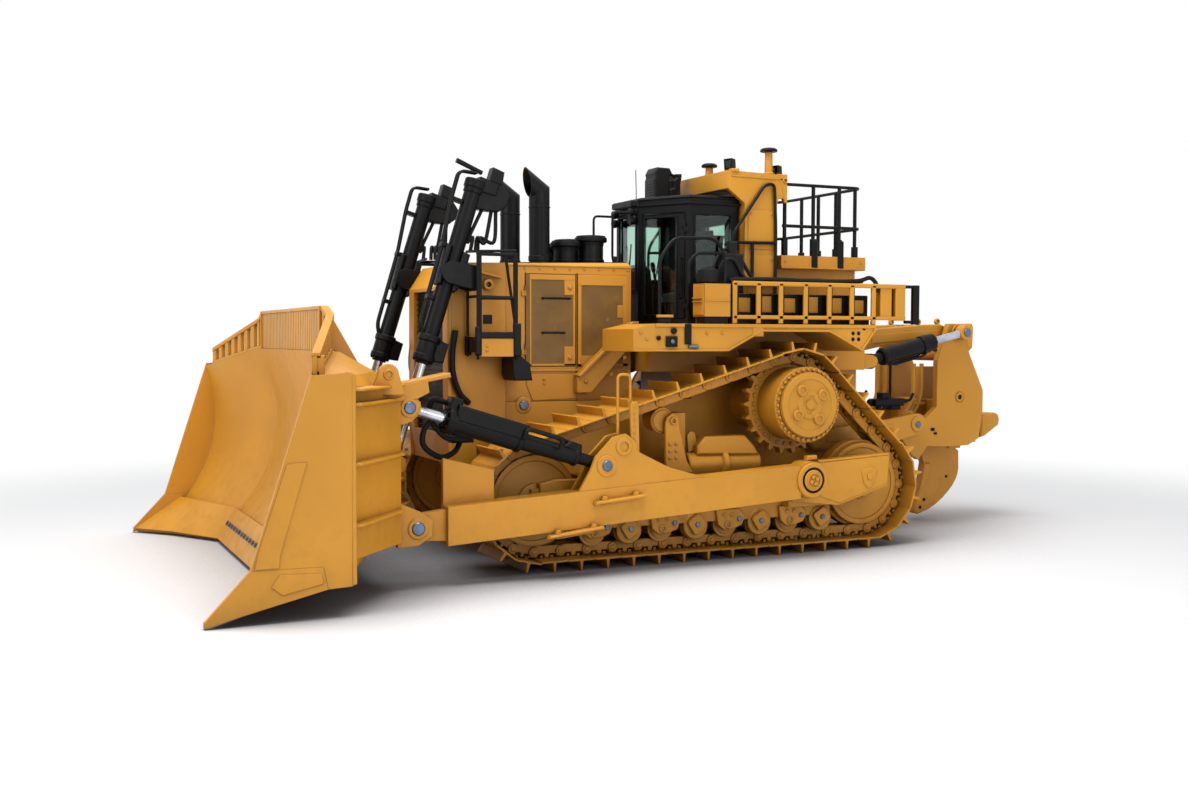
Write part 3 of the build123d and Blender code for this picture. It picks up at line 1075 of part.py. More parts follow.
with BuildPart() as ripper_beam:
    for sign in (-1, 1):
        low, high = sorted((sign * (LINK_X - 40), sign * (LINK_X + 40)))
        prism(((LINK_FRONT_PIN[0], LINK_FRONT_PIN[1] - 120), (3500, 1190), (LINK_REAR_PIN[0], 1270),
               (LINK_REAR_PIN[0], 1550), (3400, 1480), (LINK_FRONT_PIN[0], LINK_FRONT_PIN[1] + 120)),
              low, high)
        disc(low, high, LINK_FRONT_PIN, 120)
        disc(low, high, LINK_REAR_PIN, 140)
        disc(low - 1, high + 1, LINK_FRONT_PIN, RIPPER_PIN_RADIUS + PIN_GAP, mode=Mode.SUBTRACT)
        disc(*sorted((sign * (RIPPER_PLATE_X - 20), sign * (LINK_X + 41))), LINK_REAR_PIN, RIPPER_PIN_RADIUS)
    block((-LINK_X, LINK_X), (3180, 3360), (1210, 1450))
ripper_beam.part.label = "ripper_beam"
export_step(ripper_beam.part, "parts/ripper_beam.step")

with BuildPart() as ripper_carriage:
    for sign in (-1, 1):
        low = sign * RIPPER_PLATE_X - RIPPER_PLATE / 2
        high = sign * RIPPER_PLATE_X + RIPPER_PLATE / 2
        prism(((4290, 2250), (4480, 2740), (4780, 2740), (4820, 2350), (5070, 1836), (5070, 1535),
               (5010, 1180), (4830, 1090), (4560, 1080), (4140, 1095), (3990, 920), (3880, 990),
               (3715, 1210), (3700, 1400), (3760, 1530), (3860, 1580), (4050, 1430), (4284, 1620)), low, high)
        disc(low - 1, high + 1, LINK_REAR_PIN, RIPPER_PIN_RADIUS + PIN_GAP, mode=Mode.SUBTRACT)
        disc(*sorted((sign * 400, sign * (RIPPER_CYL_X - 68))), UPPER_REAR_PIN, RIPPER_PIN_RADIUS - 12)
    # pocket that holds the shank, with a cross beam each side of it
    for low, high in ((-600, -SHANK_THICKNESS / 2 - SEAT_GAP), (SHANK_THICKNESS / 2 + SEAT_GAP, 600)):
        block((low, high), (4500, 5030), (1120, 1700))
    block((-200, 200), (5020, 5300), (1180, 1480))
    # cross tube between the plates
    disc(-RIPPER_PLATE_X, RIPPER_PLATE_X, (4600, 2330), 95)
    block((-200, 200), (4330, 4500), (1120, 1700))
ripper_carriage.part.label = "ripper_carriage"
export_step(ripper_carriage.part, "parts/ripper_carriage.step")

with BuildPart() as push_block:
    block((-400, 400), (5300 + SEAT_GAP, OVERALL_HALF_LENGTH), (1160, 1480))
push_block.part.label = "push_block"
export_step(push_block.part, "parts/push_block.step")

with BuildPart() as ripper_shank:
    prism(((4510, 2150), (4980, 2150), (5010, 1080), (5195, 950), (5200, 700), (5185, 620), (5150, 540),
           (5095, 460), (5020, 380), (4920, 290), (4800, 205), (4660, 135), (4500, 95), (4440, 110), (4440, 190), (4500, 330), (4560, 560), (4600, 760),
           (4510, 1050)),
          -SHANK_THICKNESS / 2, SHANK_THICKNESS / 2)
ripper_shank.part.label = "ripper_shank"
export_step(ripper_shank.part, "parts/ripper_shank.step")

UPPER_AXIS, UPPER_LENGTH = unit(UPPER_FRONT_PIN, UPPER_REAR_PIN)
with BuildPart() as ripper_upper_links:
    for sign in (-1, 1):
        x = sign * UPPER_X
        rod(along(x, UPPER_FRONT_PIN, UPPER_AXIS, 80),
            along(x, UPPER_FRONT_PIN, UPPER_AXIS, UPPER_LENGTH - 80), 58)
        for centre in (UPPER_FRONT_PIN, UPPER_REAR_PIN):
            disc(x - 60, x + 60, centre, 100)
            disc(x - 61, x + 61, centre, RIPPER_PIN_RADIUS - 12 + PIN_GAP, mode=Mode.SUBTRACT)
ripper_upper_links.part.label = "ripper_upper_links"
export_step(ripper_upper_links.part, "parts/ripper_upper_links.step")

RIPPER_CYL_AXIS, RIPPER_CYL_LENGTH = unit(RIPPER_CYL_FRONT, RIPPER_EYE)
with BuildPart() as ripper_barrels:
    for sign in (-1, 1):
        x = sign * RIPPER_CYL_X
        disc(x - 70, x + 70, RIPPER_CYL_FRONT, 100)
        for near, far, radius in ((60, 220, 68), (210, 980, RIPPER_BARREL_RADIUS)):
            rod(along(x, RIPPER_CYL_FRONT, RIPPER_CYL_AXIS, near),
                along(x, RIPPER_CYL_FRONT, RIPPER_CYL_AXIS, far), radius)
        rod(along(x, RIPPER_CYL_FRONT, RIPPER_CYL_AXIS, 250),
            along(x, RIPPER_CYL_FRONT, RIPPER_CYL_AXIS, 990), RIPPER_ROD_RADIUS + ROD_GAP,
            mode=Mode.SUBTRACT)
        disc(x - 71, x + 71, RIPPER_CYL_FRONT, 50 + PIN_GAP, mode=Mode.SUBTRACT)
ripper_barrels.part.label = "ripper_barrels"
export_step(ripper_barrels.part, "parts/ripper_barrels.step")

with BuildPart() as ripper_rods:
    for sign in (-1, 1):
        x = sign * RIPPER_CYL_X
        rod(along(x, RIPPER_CYL_FRONT, RIPPER_CYL_AXIS, 700),
            along(x, RIPPER_CYL_FRONT, RIPPER_CYL_AXIS, RIPPER_CYL_LENGTH - 40), RIPPER_ROD_RADIUS)
        disc(x - 60, x + 60, RIPPER_EYE, 90)
        disc(x - 61, x + 61, RIPPER_EYE, 45, mode=Mode.SUBTRACT)
ripper_rods.part.label = "ripper_rods"
export_step(ripper_rods.part, "parts/ripper_rods.step")
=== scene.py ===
# %% [markdown]
# # Dressing a bulldozer
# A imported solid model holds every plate, pin and cylinder of the machine at its real size and place.
# This script keeps that frame as it is. It gives each solid a finish, and adds the many small things
# that a solid model leaves out: shoes and links, bolts, hoses, handrails, lamps and weld beads.

# %% Load the frame
import json
import math

import bpy
import numpy as np
from mathutils import Matrix, Vector


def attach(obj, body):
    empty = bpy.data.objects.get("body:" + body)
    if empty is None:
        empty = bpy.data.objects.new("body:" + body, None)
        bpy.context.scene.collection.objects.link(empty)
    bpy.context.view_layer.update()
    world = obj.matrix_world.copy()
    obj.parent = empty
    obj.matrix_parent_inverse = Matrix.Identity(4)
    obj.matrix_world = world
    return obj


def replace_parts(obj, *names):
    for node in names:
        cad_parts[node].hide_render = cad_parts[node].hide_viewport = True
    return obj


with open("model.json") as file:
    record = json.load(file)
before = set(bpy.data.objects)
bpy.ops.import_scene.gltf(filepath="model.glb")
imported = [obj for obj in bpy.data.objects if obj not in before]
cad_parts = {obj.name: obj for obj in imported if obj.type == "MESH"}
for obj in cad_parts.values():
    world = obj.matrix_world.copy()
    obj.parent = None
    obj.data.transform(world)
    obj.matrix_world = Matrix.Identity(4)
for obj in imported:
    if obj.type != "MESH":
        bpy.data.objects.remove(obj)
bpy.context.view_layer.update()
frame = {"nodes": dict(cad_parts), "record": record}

NODES = frame["nodes"]

# %% [markdown]
# ## The camera
# The camera comes first, because every later choice is judged through it. It stands near the blade's
# left end at a person's eye level on a small step, and looks a little down along the machine.

# %% Camera
scene = bpy.context.scene
lens = bpy.data.cameras.new("studio_camera")
lens.lens, lens.sensor_width = 39.76, 36.0
camera = bpy.data.objects.new("studio_camera", lens)
camera.location = (14.806, -7.257, 2.538)
camera.rotation_euler = (math.radians(90 - 2.7), math.radians(-0.1), math.radians(65.4))
scene.collection.objects.link(camera)
scene.camera = camera

# %% [markdown]
# ## Light and floor
# A product studio wraps the machine in soft light: a wide pale ceiling, a broad lamp from the front,
# and a white floor that fades into a white wall. The world is that ceiling. It is a little brighter
# overhead than at the sides, which is what makes top faces read as top faces.

# %% World, lamps and floor
scene.view_settings.view_transform = "Standard"
world = bpy.data.worlds.new("studio")
scene.world = world
world.use_nodes = True
sky = world.node_tree
sky.nodes.clear()


def sky_node(kind, **values):
    """One node of the world's tree, with its sockets set by name."""
    node = sky.nodes.new(kind)
    for name, value in values.items():
        node.inputs[name].default_value = value
    return node


up = sky.nodes.new("ShaderNodeTexCoord")
split = sky.nodes.new("ShaderNodeSeparateXYZ")
ramp = sky.nodes.new("ShaderNodeMapRange")
for name, value in (("From Min", -0.1), ("From Max", 1.0), ("To Min", 0.2), ("To Max", 0.62)):
    ramp.inputs[name].default_value = value
dome = sky_node("ShaderNodeBackground", Color=(1.0, 1.0, 1.0, 1.0))
wall = sky_node("ShaderNodeBackground", Color=(1.0, 1.0, 1.0, 1.0), Strength=1.0)
seen = sky.nodes.new("ShaderNodeLightPath")
through, shown = (sky.nodes.new("ShaderNodeMath") for _ in range(2))
through.operation = shown.operation = "MAXIMUM"
choose = sky.nodes.new("ShaderNodeMixShader")
world_out = sky.nodes.new("ShaderNodeOutputWorld")
for start, end in ((up.outputs["Generated"], split.inputs[0]), (split.outputs["Z"], ramp.inputs["Value"]),
                   (ramp.outputs["Result"], dome.inputs["Strength"]),
                   (seen.outputs["Is Camera Ray"], through.inputs[0]),
                   (seen.outputs["Is Transmission Ray"], through.inputs[1]),
                   (through.outputs[0], shown.inputs[0]), (seen.outputs["Is Glossy Ray"], shown.inputs[1]),
                   (shown.outputs[0], choose.inputs[0]), (dome.outputs[0], choose.inputs[1]),
                   (wall.outputs[0], choose.inputs[2]), (choose.outputs[0], world_out.inputs[0])):
    sky.links.new(start, end)

LAMPS = (  # name, place, what it looks at, size, watts
    ("overhead", (3.0, -3.0, 14.0), (0.0, 0.0, 1.0), 11.0, 1700.0),
    ("front", (5.0, -17.0, 7.0), (0.0, -3.0, 1.5), 7.0, 520.0),
    ("camera_side", (17.0, 1.0, 5.0), (0.0, 0.0, 1.5), 7.0, 330.0),
)
for name, place, target, size, watts in LAMPS:
    lamp_data = bpy.data.lights.new(name, "AREA")
    lamp_data.shape, lamp_data.size, lamp_data.energy = "DISK", size, watts
    lamp = bpy.data.objects.new(name, lamp_data)
    lamp.location = place
    lamp.rotation_euler = (Vector(target) - Vector(place)).to_track_quat("-Z", "Y").to_euler()
    scene.collection.objects.link(lamp)

# %% [markdown]
# ## Meshes from arrays
# Every new piece is a list of points and groups of faces, worked out with numpy. A group is an array
# with one row per face, so quads and many-sided caps can live in one mesh.

# %% Mesh helpers
ACROSS, UP = (1, 0, 0), (0, 0, 1)  # directions in the machine's frame
def shape_join(shapes):
    """One shape from several: points stacked, and each face's point numbers shifted to match."""
    points, groups, shift = [], [], 0
    for shape_points, shape_groups in shapes:
        points.append(shape_points)
        groups += [group + shift for group in shape_groups]
        shift += len(shape_points)
    return np.vstack(points), groups


def rings(loops, caps=(True, True), closed=False):
    """Skin over loops of points, an array (loop, point, xyz): quads join each loop to the next."""
    loops = np.asarray(loops, float)
    count, sides = loops.shape[:2]
    row = np.arange(count if closed else count - 1)[:, None] * sides
    column = np.arange(sides)[None, :]
    after = (column + 1) % sides
    above = (row + sides) % (count * sides)
    quads = np.stack([row + column, row + after, above + after, above + column], axis=-1).reshape(-1, 4)
    groups = [quads]
    if not closed and caps[0]:
        groups.append(np.arange(sides)[::-1][None, :].copy())
    if not closed and caps[1]:
        groups.append((np.arange(sides) + (count - 1) * sides)[None, :])
    return loops.reshape(-1, 3), groups


def turned(shape, matrix):
    """The shape after a 4 by 4 placement matrix."""
    matrix = np.asarray(matrix, float)
    return shape[0] @ matrix[:3, :3].T + matrix[:3, 3], shape[1]


def stamped(shape, matrices):
    """One shape repeated at many placements: every point goes through every matrix at once."""
    matrices = np.asarray(matrices, float)
    points = np.einsum("mij,pj->mpi", matrices[:, :3, :3], shape[0]) + matrices[:, None, :3, 3]
    shift = (np.arange(len(matrices)) * len(shape[0]))[:, None, None]
    groups = [(group[None] + shift).reshape(-1, group.shape[1]) for group in shape[1]]
    return points.reshape(-1, 3), groups


def pointing(place, axis=UP, spin=0.0):
    """Placement that puts a shape's own +Z along an axis at a place, turned by spin radians."""
    axis = np.asarray(axis, float) / np.linalg.norm(axis)
    helper = np.array((0.0, 0.0, 1.0)) if abs(axis[2]) < 0.9 else np.array((0.0, 1.0, 0.0))
    side = np.cross(helper, axis)
    side /= np.linalg.norm(side)
    front = np.cross(axis, side)
    matrix = np.eye(4)
    matrix[:3, 0] = side * math.cos(spin) + front * math.sin(spin)
    matrix[:3, 1] = front * math.cos(spin) - side * math.sin(spin)
    matrix[:3, 2], matrix[:3, 3] = axis, place
    return matrix


def revolve(profile, sides=32):
    """Surface of revolution about Z: each (radius, height) of the profile sweeps a circle."""
    profile = np.asarray(profile, float)
    angle = np.arange(sides) * 2 * math.pi / sides
    radius, height = profile[:, :1], profile[:, 1:]
    loops = np.stack([radius * np.cos(angle), radius * np.sin(angle), height + 0 * angle], axis=-1)
    return rings(loops)


def inset(outline, amount):
    """A closed outline moved inward: each corner slides along the bisector of its two edges."""
    before, after = outline - np.roll(outline, 1, 0), np.roll(outline, -1, 0) - outline
    before /= np.linalg.norm(before, axis=1)[:, None]
    after /= np.linalg.norm(after, axis=1)[:, None]
    normal = np.stack([-(before[:, 1] + after[:, 1]), before[:, 0] + after[:, 0]], axis=1)
    length = (normal ** 2).sum(1) / 2
    return outline + amount * normal / np.maximum(length, 0.4)[:, None]


def plate(outline, low, high, edge=0.006, across="x"):
    """Flat plate with chamfered edges: an outline carried between two values of the axis across it.
    The outline is (y, z) across x, (x, z) across y, and (x, y) across z."""
    outline = np.asarray(outline, float)
    following = np.roll(outline, -1, 0)
    area = (outline[:, 0] * following[:, 1] - following[:, 0] * outline[:, 1]).sum()
    if (area < 0) != (across == "y"):
        outline = outline[::-1]
    inner = inset(outline, edge if across != "y" else -edge)
    edge = min(edge, (high - low) / 3)
    loops = [(inner, low), (outline, low + edge), (outline, high - edge), (inner, high)]
    stacked = np.stack([np.column_stack([flat, np.full(len(flat), level)]) for flat, level in loops])
    order = {"x": [2, 0, 1], "y": [0, 2, 1], "z": [0, 1, 2]}[across]
    return rings(stacked[:, :, order])


def bar(low, high, edge=0.006):
    """Block between two corners with its upright edges and ends chamfered."""
    (x0, y0, z0), (x1, y1, z1) = low, high
    return plate([(y0, z0), (y1, z0), (y1, z1), (y0, z1)], x0, x1, edge)


def rounded_path(corners, bend=0.08, steps=6):
    """Straight runs whose corners become arcs: a Bezier of each corner between two cut points."""
    corners = np.asarray(corners, float)
    share = np.linspace(0, 1, steps)[:, None]
    path = [corners[:1]]
    for before, corner, after in zip(corners, corners[1:], corners[2:]):
        back, ahead = before - corner, after - corner
        cut = min(bend, np.linalg.norm(back) / 2, np.linalg.norm(ahead) / 2)
        start = corner + back / np.linalg.norm(back) * cut
        end = corner + ahead / np.linalg.norm(ahead) * cut
        path.append((1 - share) ** 2 * start + 2 * share * (1 - share) * corner + share ** 2 * end)
    return np.vstack(path + [corners[-1:]])


def flowing_path(knots, steps=8):
    """Smooth line through knots: Catmull-Rom pieces, with the end knots doubled."""
    knots = np.asarray(knots, float)
    padded = np.vstack([knots[:1] * 2 - knots[1:2], knots, knots[-1:] * 2 - knots[-2:-1]])
    share = np.linspace(0, 1, steps, endpoint=False)[None, :, None]
    a, b, c, d = (padded[i:len(padded) - 3 + i][:, None, :] for i in range(4))
    line = 0.5 * (2 * b + (c - a) * share + (2 * a - 5 * b + 4 * c - d) * share ** 2
                  + (3 * b - a - 3 * c + d) * share ** 3)
    return np.vstack([line.reshape(-1, 3), knots[-1:]])


def tube(path, radius, sides=12):
    """Round tube: a circle carried along a path, with its frame slid from station to station."""
    path = np.asarray(path, float)
    heading = np.gradient(path, axis=0)
    heading /= np.linalg.norm(heading, axis=1)[:, None]
    side = np.cross(heading[0], UP if abs(heading[0][2]) < 0.9 else (0, 1, 0))
    sides_out = []
    for direction in heading:
        side = side - direction * (side @ direction)
        side = side / np.linalg.norm(side)
        sides_out.append(side)
    across = np.array(sides_out)
    other = np.cross(heading, across)
    angle = np.arange(sides) * 2 * math.pi / sides
    radius = np.broadcast_to(np.asarray(radius, float), (len(path),))[:, None, None]
    loops = path[:, None] + radius * (across[:, None] * np.cos(angle)[:, None]
                                      + other[:, None] * np.sin(angle)[:, None])
    return rings(loops)


def mirrored(shape):
    """The shape on the machine's other side: X changes sign, and faces turn over to stay outward."""
    return shape[0] * (-1, 1, 1), [group[:, ::-1] for group in shape[1]]


def both(shape):
    """A left shape together with its right twin."""
    return shape_join([shape, mirrored(shape)])


def pair(*shapes):
    """Several left shapes as one, together with their right twins."""
    return both(shape_join(shapes))


FINISH_SLOTS = {"machine_yellow": "yellow", "satin_black": "black", "hose_rubber": "black",
                "pin_steel": "chrome_rod", "rod_chrome": "chrome_rod", "cab_glass": "glass"}


def add_piece(name, shape, finish, body="machine", slot=None, smooth=35):
    """Make one object from a shape, give it a finish, and let it ride on a body.
    The slot argument is not used."""
    slot = slot or FINISH_SLOTS.get(finish.name, "yellow")
    points, groups = shape
    mesh = bpy.data.meshes.new(name)
    corners = np.concatenate([group.ravel() for group in groups]).astype(np.int32)
    sizes = np.concatenate([np.full(len(group), group.shape[1]) for group in groups])
    mesh.vertices.add(len(points))
    mesh.vertices.foreach_set("co", np.ascontiguousarray(points, np.float32).ravel())
    mesh.loops.add(len(corners))
    mesh.loops.foreach_set("vertex_index", corners)
    mesh.polygons.add(len(sizes))
    mesh.polygons.foreach_set("loop_start", (np.cumsum(sizes) - sizes).astype(np.int32))
    mesh.update(calc_edges=True)
    mesh.validate()
    if smooth:
        mesh.polygons.foreach_set("use_smooth", np.ones(len(sizes), bool))
        mesh.set_sharp_from_angle(angle=math.radians(smooth))
    mesh.materials.append(finish)
    made = bpy.data.objects.new(name, mesh)
    scene.collection.objects.link(made)
    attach(made, body)
    return made


# %% [markdown]
# ## Finishes
# Shader maths reads best as ordinary sums. The small class below wraps a socket, so that an expression
# such as 1 - mask adds the Math nodes for us.

# %% Finish helpers
class Field:
    """A socket whose value can be used in expressions."""

    def __init__(self, finish, socket):
        self.finish, self.socket = finish, socket

    def math(self, operation, *others):
        return self.finish.node("ShaderNodeMath", {"operation": operation}, self, *others)

    def __add__(self, other):
        return self.math("ADD", other)

    def __mul__(self, other):
        return self.math("MULTIPLY", other)

    def __sub__(self, other):
        return self.math("SUBTRACT", other)

    def __rsub__(self, other):
        return self.finish.node("ShaderNodeMath", {"operation": "SUBTRACT"}, other, self)

    def __pow__(self, other):
        return self.math("POWER", other)

    __radd__, __rmul__ = __add__, __mul__


class Finish:
    """A material in the making. node() adds one node and returns its first output as a Field."""

    def __init__(self, name, **surface):
        self.material = bpy.data.materials.new(name)
        self.material.use_nodes = True
        self.tree = self.material.node_tree
        self.shader = self.tree.nodes["Principled BSDF"]
        for socket, value in surface.items():
            self.set(self.shader.inputs[socket.replace("_", " ")], value)

    def set(self, socket, value):
        if isinstance(value, Field):
            self.tree.links.new(value.socket, socket)
        else:
            socket.default_value = value

    def node(self, kind, settings=None, *values, output=0, **named):
        made = self.tree.nodes.new(kind)
        for name, value in (settings or {}).items():
            if name == "stops":
                ramp_ends = made.color_ramp.elements
                ramp_ends[0].position, ramp_ends[0].color = value[0]
                ramp_ends[1].position, ramp_ends[1].color = value[-1]
                for position, colour in value[1:-1]:
                    ramp_ends.new(position).color = colour
            else:
                setattr(made, name, value)
        for index, value in enumerate(values):
            self.set(made.inputs[index], value)
        for name, value in named.items():
            self.set(made.inputs[name.replace("_", " ")], value)
        return Field(self, made.outputs[output])

    def place(self):
        return self.node("ShaderNodeTexCoord", output="Object")

    def noise(self, scale, detail=3.0, roughness=0.55, place=None):
        return self.node("ShaderNodeTexNoise", None, Vector=place or self.place(), Scale=scale, Detail=detail,
                         Roughness=roughness)

    def between(self, value, low, high, start=0.0, end=1.0):
        """Value mapped from low..high to start..end, and held at the ends."""
        return self.node("ShaderNodeMapRange", {"interpolation_type": "SMOOTHSTEP"}, Value=value,
                         From_Min=low, From_Max=high, To_Min=start, To_Max=end)

    def mix(self, factor, first, second):
        """Blend of two colours."""
        made = self.tree.nodes.new("ShaderNodeMix")
        made.data_type = "RGBA"
        self.set(made.inputs["Factor"], factor)
        self.set(made.inputs[6], first)
        self.set(made.inputs[7], second)
        return Field(self, made.outputs[2])

    def bump(self, height, strength, distance=0.01, normal=None):
        named = {"Height": height, "Strength": strength, "Distance": distance}
        if normal:
            named["Normal"] = normal
        return self.node("ShaderNodeBump", None, **named)

    def give(self, **surface):
        for socket, value in surface.items():
            self.set(self.shader.inputs[socket.replace("_", " ")], value)
        return self.material


def tone(red, green, blue):
    """Linear colour from the 0 to 255 values of a screen colour."""
    screen = np.array((red, green, blue)) / 255
    linear = np.where(screen <= 0.04045, screen / 12.92, ((screen + 0.055) / 1.055) ** 2.4)
    return (*linear.tolist(), 1.0)


# %% [markdown]
# ## Machine paint
# Heavy plant is sprayed with a thick satin enamel. Close up it has a fine orange peel, a slow drift in
# tone from panel to panel, and a little dust low down. Corners and hollows take the dust colour as painted
# shade, and the deep gaps between parts get a darker painted shade. Rolled and flame-cut plate has softened
# edges, which a Bevel node gives to the sharp solids at shading time.

# %% Paint
def machine_paint(name, colour, dust_and_shade_colour, roughness, edge=0.012, peel=0.12, dust_and_shade_amount=0.35, gloss=0.4):
    """Satin enamel: drift in tone, dust low down, painted shade in hollows and between parts, orange peel and
    soft edges.
    """
    finish = Finish(name, Metallic=0.0)
    place = finish.place()
    drift = finish.noise(0.55, 2.0, place=place)
    spots = finish.noise(6.0, 5.0, 0.6, place=place)
    height = finish.node("ShaderNodeSeparateXYZ", None, place, output="Z")
    low = finish.between(height, 0.1, 1.6, 0.55, 0.0)
    # Painted shade: an occlusion mask mixes the dust colour into corners and hollows, on top of real dust low
    # down.
    hollow = finish.node("ShaderNodeAmbientOcclusion", {"samples": 4}, Distance=0.22, output="AO")
    corner = finish.between(hollow, 0.35, 0.95, 1.0, 0.0)
    dust_and_corner_shade = finish.between(spots, 0.42, 0.72) * (low + corner * 0.9) * dust_and_shade_amount
    # Painted shade: a wider occlusion mask darkens the paint toward a deep shade colour between parts.
    wide = finish.node("ShaderNodeAmbientOcclusion", {"samples": 4}, Distance=0.9, output="AO")
    deep = finish.between(wide, 0.1, 0.85, 0.8, 0.0)
    shaded = tuple(0.8 * c for c in colour[:3]) + (1.0,)
    light = tuple(min(1.0, 1.07 * c) for c in colour[:3]) + (1.0,)
    tint = finish.mix(finish.between(drift, 0.35, 0.65), finish.mix(0.45, shaded, colour), light)
    soft = finish.node("ShaderNodeBevel", {"samples": 4}, Radius=edge)
    fine = finish.noise(70.0, 2.0, 0.5, place=place)
    shade = tuple(0.22 * c for c in colour[:3]) + (1.0,)
    return finish.give(Base_Color=finish.mix(deep, finish.mix(dust_and_corner_shade, tint, dust_and_shade_colour), shade),
                       Specular_IOR_Level=gloss,
                       Roughness=finish.between(spots, 0.3, 0.7, roughness - 0.05,
                                                roughness + 0.07) + dust_and_corner_shade * 0.3,
                       Normal=finish.bump(fine, peel, 0.004, soft))


YELLOW = tone(216, 150, 42)
DUST_AND_SHADE = tone(150, 112, 62)
yellow = machine_paint("machine_yellow", YELLOW, DUST_AND_SHADE, 0.42)
black = machine_paint("satin_black", tone(12, 12, 13), tone(44, 41, 37), 0.4, peel=0.08, dust_and_shade_amount=0.12,
                      gloss=0.18)
print("paint", yellow.name, black.name)

# %% Steel, glass and rubber
def bare_steel(name, colour, roughness, grain, metallic=1.0):
    """Ground steel: brushed streaks round the machine, and patches of tarnish."""
    finish = Finish(name, Metallic=metallic)
    place = finish.place()
    patches = finish.noise(5.0, 4.0, place=place)
    streaks = finish.noise(grain, 2.0, place=place)
    dull = tuple(0.62 * c for c in colour[:3]) + (1.0,)
    return finish.give(Base_Color=finish.mix(finish.between(patches, 0.35, 0.7), colour, dull),
                       Roughness=finish.between(patches, 0.3, 0.7, roughness, roughness + 0.15),
                       Normal=finish.bump(streaks, 0.12, 0.002))


pin_steel = bare_steel("pin_steel", tone(104, 120, 146), 0.32, 90.0)
rod_chrome = bare_steel("rod_chrome", tone(205, 210, 218), 0.12, 30.0)
glass_finish = Finish("cab_glass", Roughness=0.04, Transmission_Weight=1.0, IOR=1.45)
window_glass = glass_finish.give(Base_Color=tone(205, 232, 220))
rubber_finish = Finish("hose_rubber", Metallic=0.0)
hose_rubber = rubber_finish.give(Base_Color=rubber_finish.mix(rubber_finish.noise(14.0), tone(12, 12, 14),
                                                              tone(24, 23, 23)), Roughness=0.55,
                                 Specular_IOR_Level=0.2,
                                 Normal=rubber_finish.bump(rubber_finish.noise(220.0), 0.15, 0.002))

SLOT_FINISH = {"yellow": yellow, "dark_yellow": yellow, "track_steel": yellow, "black": black, "grey": black,
               "chrome_rod": rod_chrome, "edge_steel": yellow, "engine_grey": black, "glass": window_glass}
slot_of = {part["node"]: part["material_slot"] for part in frame["record"]["subparts"]}
for name, node in NODES.items():
    node.data.materials.clear()
    node.data.materials.append(SLOT_FINISH[slot_of[name]])

# %% [markdown]
# ## Bolts
# A machine like this is held together by thousands of bolts, and they tell the eye how large it is.
# One hexagonal head with a washer is drawn once and stamped wherever a flange or a guard is held on.

# %% Bolt heads
def bolt_head(radius=0.018, height=0.013):
    """Hexagon head on a round washer, standing up along +Z."""
    washer = revolve([(0.0005, -0.002), (radius * 1.35, -0.002), (radius * 1.35, 0.003), (radius, 0.003)], 12)
    head = revolve([(radius, 0.002), (radius, height * 0.85), (radius * 0.82, height), (0.0005, height)], 6)
    return shape_join([washer, head])


def bolts(places, axis, radius=0.018, height=0.013):
    """Bolt heads at many places that all face one way."""
    return stamped(bolt_head(radius, height), [pointing(place, axis) for place in places])


def ring_of(centre, axis, radius, count, start=0.0):
    """Places evenly spaced round a circle about an axis."""
    matrix = pointing(centre, axis)
    angle = start + np.arange(count) * 2 * math.pi / count
    local = np.stack([radius * np.cos(angle), radius * np.sin(angle), 0 * angle, 1 + 0 * angle], axis=1)
    return (local @ matrix.T)[:, :3]


def drum(start, end, radius, edge=0.006, sides=32, bore=None):
    """Round bar between two places with chamfered ends, or a ring when it has a bore."""
    start, end = np.asarray(start, float), np.asarray(end, float)
    length = np.linalg.norm(end - start)
    profile = [(radius - edge, 0), (radius, edge), (radius, length - edge), (radius - edge, length)]
    if bore:
        profile += [(bore, length), (bore, 0)]
        loops = revolve(profile, sides)[0].reshape(len(profile), sides, 3)
        shape = rings(loops, closed=True)
    else:
        shape = revolve(profile, sides)
    return turned(shape, pointing(start, end - start))


print("bolt head faces", sum(len(group) for group in bolt_head()[1]))

# %% [markdown]
# ## The track chain
# A crawler track is a chain. Cast links run in two strands over the rollers, a pin and a bushing join
# each link to the next, and a steel shoe with one tall bar, the grouser, is bolted across every pair.
# The solid model carries the track as one loop, so here the loop is rebuilt link by link. A function
# gives the place and the outward direction at any distance along the line that wraps the three wheels.

# %% The line round the wheels
WHEELS = ((-1.921, 0.766, 0.5), (2.405, 0.766, 0.5), (1.39, 1.765, 0.484))  # y, z, tread radius
TRACK_X, SHOE_HALF = 1.448, 0.355
SHOE_TOP, GROUSER = 0.164, 0.102


def loop_runs(height):
    """Straight runs and bends of the loop: start point, length, first outward angle, turn and centre."""
    wheels = np.array(WHEELS)
    after = np.roll(wheels, -1, 0)
    gap = after[:, :2] - wheels[:, :2]
    distance = np.linalg.norm(gap, axis=1)
    outward = np.arctan2(gap[:, 1],
                         gap[:, 0]) - math.pi / 2 - np.arcsin((after[:, 2] - wheels[:, 2]) / distance)
    normal = np.stack([np.cos(outward), np.sin(outward)], axis=1)
    first = wheels[:, :2] + normal * (wheels[:, 2:] + height)
    last = after[:, :2] + normal * (after[:, 2:] + height)
    turn = (np.roll(outward, -1) - outward) % (2 * math.pi)
    return first, last, outward, turn, after[:, :2], after[:, 2] + height


def along_loop(distance, height):
    """Outward angle and wheel-line place at distances measured along the loop at one height."""
    first, last, outward, turn, centre, radius = loop_runs(height)
    run = np.linalg.norm(last - first, axis=1)
    ends = np.cumsum(np.stack([run, turn * radius], axis=1).ravel())
    distance = distance % ends[-1]
    part = np.searchsorted(ends, distance, side="right")
    into = distance - np.concatenate([[0], ends])[part]
    wheel, bend = part // 2, part % 2 == 1
    share = np.where(bend, 0, into / run[wheel])[:, None]
    angle = outward[wheel] + np.where(bend, into / radius[wheel], 0)
    normal = np.stack([np.cos(angle), np.sin(angle)], axis=1)
    straight = first[wheel] + (last - first)[wheel] * share
    place = np.where(bend[:, None], centre[wheel] + normal * radius[wheel][:, None], straight)
    return place - normal * height, angle, ends[-1]


